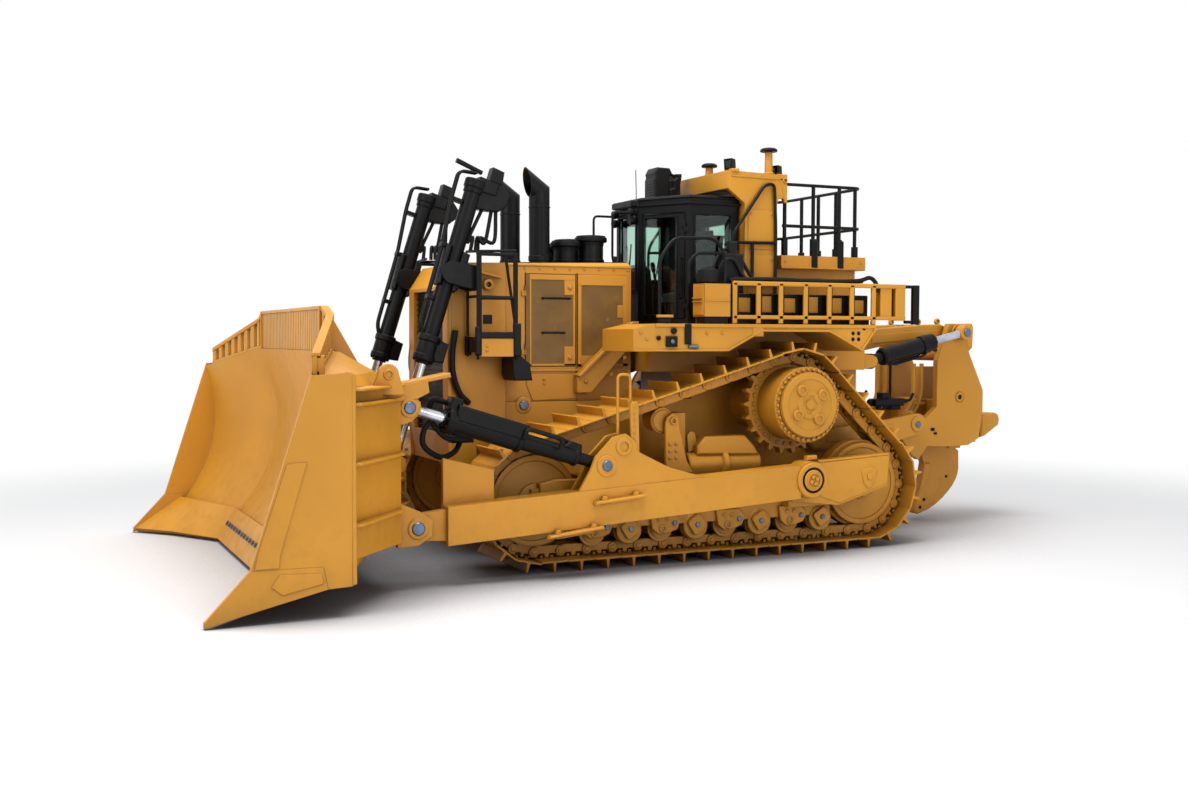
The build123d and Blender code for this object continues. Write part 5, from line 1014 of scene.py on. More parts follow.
collars += [bolts(ring_of((0, 0, 1.853), UP, 0.128, 10), UP, 0.013),
            across_plate([(above * 0.04, 0.3), (above * 0.14, 0.32), (above * 0.15, 0.46),
                          (above * 0.07, 0.52)], -0.07, 0.07, 0.01),
            across_plate([(above * 0.1, 1.72), (above * 0.235, 1.74), (above * 0.235, 1.86),
                          (above * 0.1, 1.87)], -0.09, 0.09, 0.012)]
grab = rounded_path([(0.15, above * 0.02, 1.02), (0.158, above * 0.13, 1.02), (0.158, above * 0.13, 0.6),
                     (0.15, above * 0.02, 0.6)], 0.05)
tilt_pipe = rounded_path([(0.02, above * 0.125, 0.42), (0.02, above * 0.15, 0.6),
                          (0.02, above * 0.15, 0.98)], 0.04)
add_piece("tilt_cylinder_shields",
          both(turned(shape_join([shield_roof, *collars, tube(grab, 0.02, 10), tube(tilt_pipe, 0.018, 10)]),
                      TILT_FRAME)), black, "tilt_barrels")
tilt_hose_knots = [(1.905, -3.01, 1.87), (1.88, -3.16, 1.9), (1.84, -3.18, 1.72), (1.8, -3.02, 1.52),
                   (1.78, -2.9, 1.5), (1.75, -2.8, 1.58), (1.72, -2.74, 1.66)]
low_hose_knots = [(1.93, -2.98, 1.8), (1.84, -3.2, 1.66), (1.8, -3.24, 1.44), (1.76, -3.05, 1.3),
                  (1.72, -2.88, 1.34), (1.66, -2.78, 1.46)]
add_piece("tilt_hoses", pair(*[tube(flowing_path(k), 0.03) for k in (tilt_hose_knots, low_hose_knots)]),
          hose_rubber, "push_arms")
tilt_valve = shape_join([bar((1.62, -2.92, 1.44), (1.8, -2.68, 1.72), 0.02),
                         drum((1.7, -3.0, 1.6), (1.7, -2.9, 1.6), 0.06, 0.01, 20)])
add_piece("tilt_manifolds", both(tilt_valve), black, "push_arms")

# %% [markdown]
# ## Hood and engine doors
# The doors of the engine bay are perforated sheet, so the fan can push air out past the engine. From a
# few metres the holes melt into a brown veil. A material does that best: a fine lattice of dark dots
# over a darker, warmer yellow, with dim shapes of the engine behind in painted shade and painted glints of
# light. Real holes would cost millions of faces and would shimmer at this distance.

# %% Perforated sheet
def perforated_sheet(name):
    """Yellow sheet with a lattice of round holes, and a vague bright and dark engine behind it: painted shade
    with painted glints.
    """
    finish = Finish(name, Metallic=0.0, Roughness=0.5)
    place = finish.place()
    axis = finish.node("ShaderNodeSeparateXYZ", None, place, output="Y")
    height = finish.node("ShaderNodeSeparateXYZ", None, place, output="Z")
    wave = ((axis * 340.0).math("SINE") * (height * 340.0).math("SINE"))
    holes = finish.between(wave, -0.05, 0.45)
    shapes = finish.noise(3.4, 3.0, 0.6, place)
    # Painted highlight and painted shade: bright glints and a dark engine bay show through the holes.
    painted_glints = finish.between(finish.noise(7.5, 2.0, 0.4, place), 0.7, 0.78)
    engine = finish.mix(finish.between(shapes, 0.38, 0.62), tone(58, 40, 14), tone(132, 98, 40))
    behind = finish.mix(painted_glints * 0.75, engine, tone(214, 190, 160))
    sheet = finish.mix(finish.noise(1.2, 2.0, place=place), tone(118, 84, 24), tone(136, 98, 32))
    return finish.give(Base_Color=finish.mix(holes * 0.62, sheet, behind),
                       Normal=finish.bump(holes, 0.25, 0.002))


screen_sheet = perforated_sheet("perforated_sheet")
for name in ("engine_door_left", "engine_door_right", "engine_panels"):
    NODES[name].data.materials[0] = screen_sheet

# %% Door frames, latches and panel joints
HOOD_X = 0.65


def door_sheet(outline, thick=0.007, x=HOOD_X):
    """A thin plate on the side of the hood."""
    return plate(outline, x - 0.002, x + thick, 0.002)


def box_outline(y0, y1, z0, z1):
    """Corners of an upright rectangle seen from the side."""
    return [(y0, z0), (y1, z0), (y1, z1), (y0, z1)]


door_plates = [door_sheet(box_outline(*b))
               for b in ((-1.6, -1.02, 3.215, 3.278), (-1.6, -1.575, 2.215, 3.215),
                         (-1.16, -1.02, 3.04, 3.215), (-1.16, -1.02, 2.215, 2.44),
                         (-1.048, -1.02, 2.44, 3.04), (-1.6, -1.02, 2.212, 2.238))]
door_frame = shape_join(door_plates + [bolts([(0.658, -1.09, 3.13), (0.658, -1.09, 2.31)], ACROSS, 0.022)])
add_piece("engine_door_frame_left", door_frame, yellow, "engine_door_left")
add_piece("engine_door_frame_right", mirrored(door_frame), yellow, "engine_door_right")
grab_bars = shape_join([tube(rounded_path([(0.655, y0, z), (0.7, y0, z), (0.7, y1, z), (0.655, y1, z)],
                                          0.02), 0.013, 10)
                        for y0, y1, z in ((-1.44, -1.1, 3.0), (-1.44, -1.17, 2.6))])
add_piece("engine_door_handle_left", grab_bars, black, "engine_door_left")
add_piece("engine_door_handle_right", mirrored(grab_bars), black, "engine_door_right")
panel_plates = [door_sheet(box_outline(*b))
                for b in ((-0.985, -0.33, 3.16, 3.284), (-0.985, -0.94, 2.206, 3.16),
                          (-0.4, -0.33, 2.206, 3.16), (-0.47, -0.4, 2.78, 2.93),
                          (-0.985, -0.33, 2.206, 2.235), (-0.94, -0.76, 2.235, 2.33))]
lower_panel = [door_sheet([(-1.64, 2.12), (-1.0, 2.12), (-1.0, 1.83), (-1.56, 1.81), (-1.64, 2.0)], 0.01),
               bolts([(0.661, -1.42, 2.06), (0.661, -1.42, 2.01)], ACROSS, 0.012, 0.006),
               door_sheet(box_outline(-1.65, -0.33, 2.15, 2.176), 0.014),
               door_sheet(box_outline(-1.93, -0.29, 3.372, 3.386), 0.01)]
hood_side = shape_join(panel_plates + lower_panel + [bolts([(0.652, y, 3.345)
                                                            for y in np.arange(-1.85, -0.3, 0.19)], ACROSS,
                                                           0.011, 0.006)])
add_piece("hood_side_panels", both(hood_side), yellow)

# %% [markdown]
# The brace from the hood down to the frame is a folded box with a triangle of plate in its corner. The
# joints between the hood sheets are thin dark lines, which are modelled as narrow strips of shadow.

# %% Braces, joints and hood top
brace = [(-1.04, 2.1), (-0.33, 2.735), (-0.25, 2.735), (-0.25, 2.69), (-0.33, 2.69), (-1.01, 2.075)]
brace_lip = plate(brace, 0.65, 0.79, 0.006)
brace_gusset = plate([(-0.8, 2.17), (-0.56, 2.17), (-0.3, 2.64), (-0.36, 2.655)], 0.7, 0.712, 0.004)
brace_bolts = bolts([(0.762, -0.3, 2.665), (0.762, -0.93, 2.03), (0.762, -0.6, 2.1), (0.762, -0.42, 2.3)],
                    ACROSS, 0.02)
add_piece("hood_brace_lips", pair(brace_lip, brace_gusset, brace_bolts), yellow)
joint_lines = [door_sheet(box_outline(*b), 0.0045)
               for b in ((-1.656, -1.648, 2.19, 3.3), (-1.012, -1.004, 1.83, 3.3),
                         (-0.996, -0.988, 2.19, 3.3), (-1.0, -0.994, 1.8, 2.13), (-1.62, -1.0, 1.8, 1.806))]
add_piece("hood_joint_lines", pair(*joint_lines), black)
top_strip = plate([(-0.56, -1.9), (0.56, -1.9), (0.56, -0.32), (-0.56, -0.32)], 3.404, 3.412, 0.003,
                  across="z")
top_strip[0][:, 2] += (top_strip[0][:, 1] + 1.93) * (0.04 / 1.64)
add_piece("hood_top_strip", top_strip, black)

# %% [markdown]
# ## Stacks and air cleaners
# Exhaust stacks get very hot. Each has a heat shield seam down its length, a clamp band at the foot and
# a thin band near the mouth. The air cleaners behind them wear flat caps with a band of inlet slots.

# %% Stack bands and precleaner caps
STACK_X, STACK_Y = 0.478, -1.405
stack_bands = [drum((STACK_X, STACK_Y, z0), (STACK_X, STACK_Y, z1), 0.13, 0.006, 36, 0.119)
               for z0, z1 in ((3.44, 3.5), (4.06, 4.075))]
stack_bands.append(plate([(STACK_Y - 0.02, 3.5), (STACK_Y + 0.02, 3.5), (STACK_Y + 0.02, 4.13),
                          (STACK_Y - 0.02, 4.13)], STACK_X + 0.118, STACK_X + 0.13, 0.003))
add_piece("stack_bands", pair(*stack_bands), black)
caps = []
for y, height, radius in ((-1.01, 0.27, 0.165), (-0.68, 0.33, 0.175)):
    base = 3.4 + (y + radius - 0.025 + 1.93) * 0.0244
    top = base + height
    caps.append(turned(revolve([(radius + 0.012, top - 0.075), (radius + 0.022, top - 0.06),
                                (radius + 0.018, top - 0.02), (radius - 0.03, top + 0.004),
                                (0.05, top + 0.012), (0.0005, top + 0.012)], 40),
                       pointing((0.34, y, 0), UP)))
    fins = [pointing((0.34 + (radius - 0.022) * math.cos(a), y + (radius - 0.022) * math.sin(a),
                      top - 0.115), UP, a + math.pi / 2) for a in np.arange(0, 2 * math.pi, math.pi / 14)]
    caps.append(stamped(bar((-0.01, -0.004, 0), (0.01, 0.004, 0.045), 0.002), fins))
    caps.append(turned(revolve([(radius - 0.012, 0.02), (radius - 0.012, 0.045), (radius - 0.026, 0.05),
                                (radius - 0.026, 0.02)], 40), pointing((0.34, y, base), UP)))
add_piece("air_cleaner_caps", pair(*caps), black)

# %% [markdown]
# ## Radiator guard and front steps
# A folded step box hangs beside the radiator guard, below a frame of black handrails. The guard is a
# heavy welded box, so its outside gets a raised rim, bolt pairs and the lifting boss low on its side.

# %% Step box, rails and guard trim
step_rails = []
for y in (-2.4, -1.945):
    step_rails.append(rounded_path([(1.13, y, 2.3), (1.13, y, 3.49), (0.76, y, 3.505)], 0.06))
step_rails.append(rounded_path([(0.79, -2.4, 2.33), (0.79, -2.4, 3.35)], 0.03))
step_rails.append(rounded_path([(1.13, -2.4, 3.49), (1.13, -1.945, 3.505)], 0.03))
step_rails.append(rounded_path([(1.13, -2.08, 3.48), (1.12, -1.945, 2.6)], 0.03))
step_rails.append(rounded_path([(1.13, -2.4, 2.995), (1.13, -1.945, 2.985)], 0.03))
step_rails.append(rounded_path([(0.79, -2.4, 2.995), (1.13, -2.4, 2.995)], 0.03))
add_piece("step_rails", pair(*[tube(path, 0.016, 10) for path in step_rails]), black)
feet = [bar((1.108, -2.43, 2.345), (1.158, -2.37, 2.66), 0.012),
        bar((1.105, -1.985, 2.335), (1.165, -1.9, 2.7), 0.012)]
feet += [bar((0.77, -2.435, 2.345), (0.815, -2.36, 2.56), 0.012),
         bar((1.08, -2.4, 2.53), (1.152, -1.945, 2.605), 0.01)]
mud_flaps = [plate([(-1.985, 2.36), (-1.9, 2.35), (-1.78, 2.25), (-1.745, 2.06), (-1.96, 2.06),
                    (-1.985, 2.13)], 0.76, 1.12, 0.012)]
add_piece("step_posts", pair(*feet + mud_flaps), black)
step_box = [plate([(-2.37, 2.33), (-1.98, 2.33), (-1.98, 2.545), (-2.37, 2.545)], 1.128, 1.142, 0.004),
            bolts([(1.142, -2.3, 2.4), (1.142, -2.3, 2.45)], ACROSS, 0.012, 0.006),
            plate([(0.745, -2.4), (1.13, -2.4), (1.13, -1.95), (0.745, -1.95)], 2.546, 2.556, 0.003,
                  across="z")]
add_piece("step_boxes", pair(*step_box), yellow)
GUARD_X = 0.74
guard_trim = [plate([(-2.61, 1.12), (-2.56, 1.1), (-2.575, 1.48), (-2.575, 3.1), (-2.43, 3.35),
                     (-2.62, 3.13), (-2.628, 1.52)], GUARD_X - 0.002, GUARD_X + 0.014, 0.005),
              drum((GUARD_X, -2.15, 3.14), (GUARD_X + 0.06, -2.15, 3.14), 0.062, 0.01, 28, 0.03),
              plate([(-2.28, 3.3), (-2.0, 3.24), (-2.0, 3.21), (-2.28, 3.27)], GUARD_X, GUARD_X + 0.05,
                    0.005), drum((0.64, -1.689, 1.761), (0.7, -1.689, 1.761), 0.098, 0.01, 32)]
add_piece("guard_trim", pair(*guard_trim), yellow)
add_piece("guard_pins", both(drum((0.695, -1.689, 1.761), (0.722, -1.689, 1.761), 0.055, 0.008, 28)),
          pin_steel)
hatch = plate(box_outline(-2.2, -2.095, 2.7, 2.8), GUARD_X - 0.001, GUARD_X + 0.012, 0.006)
add_piece("guard_hatches", both(hatch), black)
slats = [bar((-0.555, -2.585, z), (0.555, -2.545, z + 0.012), 0.003) for z in np.arange(1.5, 3.06, 0.065)]
add_piece("grille_slats", shape_join(slats), black)
side_hose = flowing_path([(0.78, -2.54, 2.62), (0.79, -2.58, 2.4), (0.8, -2.58, 2.15), (0.79, -2.5, 1.92),
                          (0.77, -2.38, 1.8)])
add_piece("guard_hoses", both(tube(side_hose, 0.034)), hose_rubber)

# %% [markdown]
# ## Cab
# The cab is a six-sided steel house with a door in each front corner. Flat sheet would look like a
# cardboard box, so every pane gets a raised rubber seal, and the roof gets a gutter, a visor over the
# windscreen and lamps. A frame with mitred corners is four profile loops, one at each corner.

# %% Seals round the panes
def seal_frame(width, height, band, depth, edge=0.004):
    """Picture frame about the origin: one profile of the frame's section at each corner, joined in a loop."""
    section = np.array([(0, 0), (0, depth - edge), (edge, depth), (band - edge, depth),
                        (band, depth - edge), (band, 0)])
    corners = np.array([(-1, -1), (1, -1), (1, 1), (-1, 1)]) / 2
    loops = np.empty((4, 6, 3))
    loops[:, :, 0] = corners[:, :1] * (width - 2 * section[None, :, 0])
    loops[:, :, 1] = corners[:, 1:] * (height - 2 * section[None, :, 0])
    loops[:, :, 2] = section[None, :, 1]
    return rings(loops, closed=True)


def facing(place, across, outward):
    """Placement whose +X runs across a wall, +Y up it and +Z out of it."""
    matrix = np.eye(4)
    matrix[:3, 0], matrix[:3, 2], matrix[:3, 3] = across, outward, place
    matrix[:3, 1] = np.cross(outward, across)
    return matrix


CAB_FRONT = (0.3, -0.02)
CAB_WIDE, PILLAR_Y = 0.95, 0.33
DOOR_RUN = math.hypot(CAB_WIDE - CAB_FRONT[0], PILLAR_Y - CAB_FRONT[1])
DOOR_ALONG = np.array((CAB_WIDE - CAB_FRONT[0], PILLAR_Y - CAB_FRONT[1], 0.0)) / DOOR_RUN
DOOR_OUT = np.array((DOOR_ALONG[1], -DOOR_ALONG[0], 0.0))


def on_door(along, height, out=0.0):
    """A point of the left cab door: metres along it from the front pillar, height, and distance out of it."""
    return np.array((*CAB_FRONT, height)) + DOOR_ALONG * along + DOOR_OUT * out


door_parts = [turned(seal_frame(0.51, 1.208, 0.022, 0.01),
                     facing(on_door(0.329, 3.41), DOOR_ALONG, DOOR_OUT)),
              turned(seal_frame(0.614, 1.264, 0.012, 0.006),
                     facing(on_door(0.373, 3.41), DOOR_ALONG, DOOR_OUT)),
              tube(rounded_path([on_door(0.64, 3.02, 0.0), on_door(0.64, 3.02, 0.045),
                                 on_door(0.64, 3.5, 0.045), on_door(0.64, 3.5, 0.0)], 0.02), 0.01, 8),
              turned(plate([(-0.03, -0.05), (0.03, -0.05), (0.03, 0.05), (-0.03, 0.05)], 0, 0.018, 0.006,
                           across="z"), facing(on_door(0.64, 3.26), DOOR_ALONG, DOOR_OUT))]
door_wiper = [tube(rounded_path([on_door(0.46, 2.81, 0.012), on_door(0.44, 2.84, 0.03),
                                 on_door(0.3, 3.36, 0.022)], 0.02), 0.006, 8),
              tube([on_door(0.25, 3.16, 0.016), on_door(0.33, 3.56, 0.016)], 0.007, 6)]
door_shape = shape_join(door_parts + door_wiper)
add_piece("cab_door_seal_left", door_shape, black, "cab_door_left")
add_piece("cab_door_seal_right", mirrored(door_shape), black, "cab_door_right")

pane_frames = [turned(seal_frame(0.5, 0.93, 0.022, 0.012), facing((0, -0.02, 3.595), ACROSS, (0, -1, 0))),
               turned(seal_frame(1.28, 0.78, 0.022, 0.012), facing((0, 1.48, 3.65), (-1, 0, 0), (0, 1, 0)))]
side_frame = turned(seal_frame(0.535, 0.8, 0.022, 0.012), facing((0.95, 0.6675, 3.64), (0, 1, 0), ACROSS))
add_piece("pane_seals", shape_join(pane_frames + [both(side_frame)]), black)
print("cab panes sealed", len(pane_frames) + 4)

# %% [markdown]
# The roof overhangs the walls a little, so rain drips clear of the glass. The visor carries two lamps at
# each side, one above the other. The unit on top of the roof is the air conditioner, with its fan grille
# and the filter beside it.

# %% Roof gutter, visor and roof unit
half_plan = [CAB_FRONT, (CAB_WIDE, PILLAR_Y), (CAB_WIDE, 1.005), (0.78, 1.005), (0.78, 1.48)]
CAB_PLAN = half_plan + [(-x, y) for x, y in reversed(half_plan)]


def plan_band(outline, low, high, out):
    """Band that stands `out` metres proud of a plan outline all round, with its edges chamfered."""
    outline = np.asarray(outline, float)
    wide = inset(outline, -out)
    slim = inset(outline, -out + 0.006)
    loops = [np.column_stack([flat, np.full(len(flat), level)])
             for flat, level in ((outline, low), (slim, low), (wide, low + 0.006), (wide, high - 0.006),
                                 (slim, high), (outline, high))]
    return rings(loops, caps=(False, False))


visor = plate([(-0.32, -0.015), (-0.27, -0.11), (0.27, -0.11), (0.32, -0.015)], 4.15, 4.235, 0.015,
              across="z")
visor_lamps = [turned(revolve([(0.045, 0.0), (0.052, 0.03), (0.052, 0.065), (0.042, 0.072), (0.001, 0.068)],
                              24), pointing((x, -0.045, z), (0, -1, -0.15)))
               for x, z in ((-0.24, 4.095), (0.24, 4.095), (0.24, 3.985), (-0.24, 3.985))]
roof_parts = [plan_band(CAB_PLAN, 4.14, 4.172, 0.026), plan_band(CAB_PLAN, 4.215, 4.236, 0.018),
              plan_band(CAB_PLAN, 2.702, 2.74, 0.012), visor]
add_piece("roof_gutters", shape_join(roof_parts + visor_lamps), black)

unit_side = [(0.285, 4.262), (0.285, 4.52), (0.3, 4.56), (0.29, 4.6), (0.33, 4.672), (0.5, 4.668),
             (0.535, 4.61), (0.5, 4.56), (0.505, 4.262)]
unit_shape = [plate(unit_side, -0.145, 0.145, 0.016),
              plate([(0.505, 4.262), (0.505, 4.4), (0.57, 4.43), (0.56, 4.52), (0.61, 4.56), (0.59, 4.6),
                     (0.675, 4.605), (0.67, 4.54), (0.655, 4.48), (0.655, 4.262)], -0.12, 0.14, 0.01),
              tube(rounded_path([(0.1, 0.52, 4.6), (0.11, 0.6, 4.57), (0.12, 0.64, 4.47),
                                 (0.128, 0.64, 4.3)], 0.05), 0.016, 10)]
unit_fins = [plate([(0.292, z), (0.292, z + 0.012), (0.282, z + 0.004), (0.282, z - 0.008)], -0.12, 0.12,
                   0.002) for z in np.arange(4.3, 4.52, 0.035)]
roof_unit = add_piece("roof_unit_housing", shape_join(unit_shape + unit_fins), black)
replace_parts(roof_unit, "roof_unit")

# %% Wipers, rails and aerial
wipers = []
for side in (-1, 1):
    wipers.append(tube(rounded_path([(side * 0.06, -0.045, 3.1), (side * 0.07, -0.065, 3.14),
                                     (side * 0.13, -0.055, 3.5)], 0.02), 0.006, 8))
    wipers.append(tube([(side * 0.1, -0.048, 3.32), (side * 0.16, -0.048, 3.7)], 0.008, 6))
    wipers.append(drum((side * 0.06, -0.02, 3.1), (side * 0.06, -0.06, 3.1), 0.022, 0.004, 16))
front_rail = rounded_path([(0.275, -0.03, 4.07), (0.275, -0.36, 4.07), (0.275, -0.36, 3.5),
                           (0.275, -0.3, 3.38)], 0.06)
aerial = tube([(0.275, -0.035, 4.2), (0.275, -0.045, 4.6)], 0.006, 6)
add_piece("cab_wipers", shape_join(wipers), black)
add_piece("cab_front_rails", pair(tube(front_rail, 0.015, 10)), black)
add_piece("cab_aerial", aerial, pin_steel)

# %% [markdown]
# ## Roll-over frame
# The roll-over frame is one welded box section, so it shows plate edges, weld beads and a bolted cover
# on each post. Two breathers with mushroom caps stand on it, and two work lamps at each side. A breather
# is a surface of revolution, and its cap is drawn as one profile, from the skirt over the dome to the
# middle.

# %% Roof frame covers, breathers and lamps
ROPS_X = 1.06
rops_plates = [plate(outline, ROPS_X - 0.002, ROPS_X + 0.008, 0.003)
               for outline in ([(1.085, 3.62), (1.45, 3.62), (1.45, 4.1), (1.085, 4.1)],
                               [(1.085, 3.05), (1.45, 3.05), (1.45, 3.56), (1.085, 3.56)],
                               [(0.85, 4.505), (1.62, 4.49), (1.62, 4.47), (0.85, 4.485)])]
rops_plates.append(bolts([(ROPS_X + 0.008, y, z) for y in (1.12, 1.415) for z in (3.1, 3.5, 3.67, 4.05)],
                         ACROSS, 0.014, 0.008))
rops_plates.append(plate([(1.6, 4.2), (1.64, 4.2), (1.64, 4.545), (1.5, 4.548), (1.56, 4.4)], 1.0, 1.068,
                         0.008))
rops_plates.append(drum((0.985, 1.6, 4.47), (1.085, 1.6, 4.47), 0.034, 0.006, 20, 0.018))
add_piece("rops_covers", pair(*rops_plates), yellow)
BREATHERS = ((0.45, 0.89, 4.712, 0.1), (0.95, 1.44, 4.872, 0.108))
stems = [revolve([(0.072, 4.52), (0.072, 4.56), (0.05, 4.575), (0.047, top - 0.06), (0.03, top - 0.05)], 28)
         for x, y, top, r in BREATHERS]
domes = [revolve([(0.03, top - 0.055), (r - 0.008, top - 0.052), (r, top - 0.04), (r - 0.004, top - 0.022),
                  (r - 0.03, top - 0.006), (0.03, top), (0.001, top)], 32) for x, y, top, r in BREATHERS]
places = [pointing((x, y, 0), UP) for x, y, top, r in BREATHERS]
stem_piece = add_piece("breather_stems", shape_join([turned(s, p) for s, p in zip(stems, places)]), yellow)
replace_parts(stem_piece, "breathers")
add_piece("breather_caps", shape_join([turned(s, p) for s, p in zip(domes, places)]), black)


def work_lamp(place, forward=(0.3, -1.0, -0.1)):
    """Square work lamp: a rounded shell that tapers to the back, and the rim of its glass in front."""
    square = ((-1, -1), (1, -1), (1, 1), (-1, 1))
    loops = [[(x * size, y * size, depth) for x, y in square]
             for size, depth in ((0.03, -0.07), (0.052, -0.05), (0.062, 0.01), (0.066, 0.03),
                                 (0.052, 0.034), (0.05, 0.022))]
    return turned(rings(loops), pointing(place, forward))


lamp_places = [(0.98, 0.87, 4.64), (0.93, 1.56, 4.6)]
add_piece("work_lamps", pair(*[work_lamp(p) for p in lamp_places]), black)
lenses = [turned(plate([(-0.046, -0.046), (0.046, -0.046), (0.046, 0.046), (-0.046, 0.046)], 0.022, 0.03,
                       0.003, across="z"), pointing(p, (0.3, -1.0, -0.1))) for p in lamp_places]
add_piece("work_lamp_lenses", pair(*lenses), window_glass)
brackets = [bar((x - 0.1, y - 0.02, 4.54), (x + 0.1, y + 0.08, z - 0.06), 0.006)
            for x, y, z in lamp_places[:1]]
add_piece("work_lamp_brackets", pair(*brackets), yellow)

# %% [markdown]
# ## Rails and rail sockets
# Handrails are bent tube. Where a post meets the tank it stands in a black socket that is bolted to the
# side of the tank, and the long loop beside the cab is what a driver holds on the way in.

# %% Cab side rails and rail sockets
side_loop = rounded_path([(1.74, -0.47, 2.705), (1.74, -0.47, 3.42), (1.74, -0.29, 3.665),
                          (1.74, 0.24, 3.675), (1.74, 0.37, 3.51), (1.74, 0.37, 3.16)], 0.1)
second_loop = rounded_path([(1.74, -0.1, 3.16), (1.74, -0.1, 3.4), (1.74, 0.0, 3.5), (1.74, 0.37, 3.51)],
                           0.08)
rops_loop = rounded_path([(1.095, 0.83, 2.705), (1.095, 0.83, 3.76), (1.095, 1.3, 4.4),
                          (1.095, 1.435, 4.42), (1.095, 1.46, 3.9), (1.095, 1.46, 2.705)], 0.12)
level_bars = [[(1.095, 0.83, 3.69), (1.095, 1.46, 3.7)], [(1.095, 1.13, 3.19), (1.095, 1.13, 3.69)],
              [(1.095, 0.83, 3.195), (1.095, 1.46, 3.195)]]
add_piece("cab_side_rails",
          pair(*[tube(path, 0.019, 10) for path in (side_loop, second_loop, rops_loop, *level_bars)]),
          black)
sockets = [bar((0.985, y - 0.045, 3.41), (1.012, y + 0.045, 3.76), 0.01) for y in (2.09, 2.48)]
sockets += [bar((0.93, y - 0.035, 3.567), (0.992, y + 0.035, 3.78), 0.01) for y in (1.67, 2.09, 2.48)]
sockets += [bar((x - 0.035, 2.785, 3.567), (x + 0.035, 2.855, 3.71), 0.01) for x in (0.82, 0.4)]
centre_socket = bar((-0.035, 2.785, 3.567), (0.035, 2.855, 3.71), 0.01)
add_piece("rail_sockets", shape_join([pair(*sockets), centre_socket]), black)

# %% [markdown]
# ## Deck railing, boxes and tank
# The railing beside the deck is a ladder of square tube. Behind it stand tool and battery boxes, so the
# gaps between the uprights show box faces and deep shade; a thin black sheet behind the box faces is
# painted shade. Its rear bay holds a closed box.

# %% Deck railing
BASKET_X = 1.77
BASKET_POSTS = (0.476, 0.792, 1.096, 1.439, 1.772, 2.094, 2.412)
railing = [bar((BASKET_X - 0.022, 0.452, 3.144), (BASKET_X + 0.03, 2.883, 3.196), 0.008),
           bar((BASKET_X - 0.022, 0.452, 2.76), (BASKET_X + 0.03, 2.883, 2.806), 0.008)]
railing += [bar((BASKET_X - 0.005, y - 0.03, 2.705), (BASKET_X + 0.03, y + 0.03, 3.18), 0.008)
            for y in BASKET_POSTS]
railing += [bar((BASKET_X - 0.06, 2.735, 2.757), (BASKET_X + 0.028, 2.88, 3.18), 0.01),
            bar((BASKET_X - 0.2, 2.52, 2.777), (BASKET_X + 0.012, 2.69, 3.155), 0.01)]
railing_piece = add_piece("deck_railing", pair(*railing), yellow)
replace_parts(railing_piece, "side_rails")
# Painted shade: besides the dark posts, a thin black sheet behind the box covers darkens the gaps between
# them.
dark_posts_and_shade_sheet = [bar((BASKET_X - 0.085, y + 0.035, 2.705), (BASKET_X - 0.035, y + 0.085, 3.17), 0.006)
              for y in BASKET_POSTS[:-1]]
dark_posts_and_shade_sheet += [bar((BASKET_X - 0.11, 0.455, 2.702), (BASKET_X - 0.08, 2.425, 2.8), 0.006),
               bar((BASKET_X - 0.09, 2.69, 2.76), (BASKET_X - 0.04, 2.735, 3.17), 0.006),
               bar((1.641, 0.42, 2.8), (1.648, 2.425, 3.055), 0.003),
               bar((1.56, 0.095, 2.702), (1.772, 0.402, 2.784), 0.006)]
add_piece("railing_backs", pair(*dark_posts_and_shade_sheet), black)
box_covers = [bar((1.645, y0, 2.84), (1.66, y1, z), 0.005)
              for y0, y1, z in ((0.54, 0.76, 3.01), (0.86, 1.05, 3.03), (1.18, 1.38, 3.01),
                                (1.5, 1.7, 3.03), (1.84, 2.04, 3.02), (2.15, 2.36, 3.0))]
box_covers += [plate([(0.08, 2.96), (0.405, 2.96), (0.405, 2.975), (0.08, 2.975)], 1.798, 1.808, 0.002),
               bolts([(1.66, y, 2.93) for y in (0.58, 0.9, 1.22, 1.55, 1.88, 2.2)], ACROSS, 0.014, 0.008)]
front_cover = plate([(1.545, 2.8), (1.785, 2.8), (1.785, 3.14), (1.545, 3.14)], 0.062, 0.076, 0.006,
                    across="y")
ledges = [bar((1.56, 0.04, z), (1.76, 0.066, z + 0.012), 0.003) for z in (2.95, 2.99)]
add_piece("deck_box_covers", pair(*box_covers + [front_cover] + ledges), yellow)

# %% Hoses, filter and latches on the deck
deck_hose = flowing_path([(1.7, 0.45, 3.21), (1.74, 1.0, 3.225), (1.75, 1.7, 3.215), (1.745, 2.2, 3.23),
                          (1.74, 2.38, 3.27), (1.745, 2.47, 3.21), (1.745, 2.5, 3.1)])
thin_hose = flowing_path([(1.7, 0.5, 3.24), (1.69, 0.9, 3.2), (1.7, 1.6, 3.235), (1.71, 2.1, 3.21),
                          (1.715, 2.3, 3.22)])
filter_dome = turned(revolve([(0.09, 0.0), (0.128, 0.02), (0.135, 0.1), (0.12, 0.16), (0.06, 0.19),
                              (0.001, 0.195)], 32), pointing((1.62, 0.215, 3.16), UP))
loops = [tube(flowing_path(knots), 0.022, 10) for knots in (
    [(1.6, 0.34, 3.2), (1.62, 0.42, 3.42), (1.64, 0.55, 3.44), (1.66, 0.66, 3.26), (1.7, 0.74, 3.2)],
    [(1.52, 0.3, 3.22), (1.5, 0.44, 3.52), (1.52, 0.62, 3.56), (1.56, 0.8, 3.3), (1.6, 0.88, 3.18)])]
loops += [bar((1.44, 0.44, 3.06), (1.62, 0.7, 3.52), 0.02), bar((1.5, 0.52, 3.5), (1.6, 0.62, 3.66), 0.016)]
add_piece("deck_hoses", pair(tube(deck_hose, 0.026), tube(thin_hose, 0.016), filter_dome, *loops),
          hose_rubber)
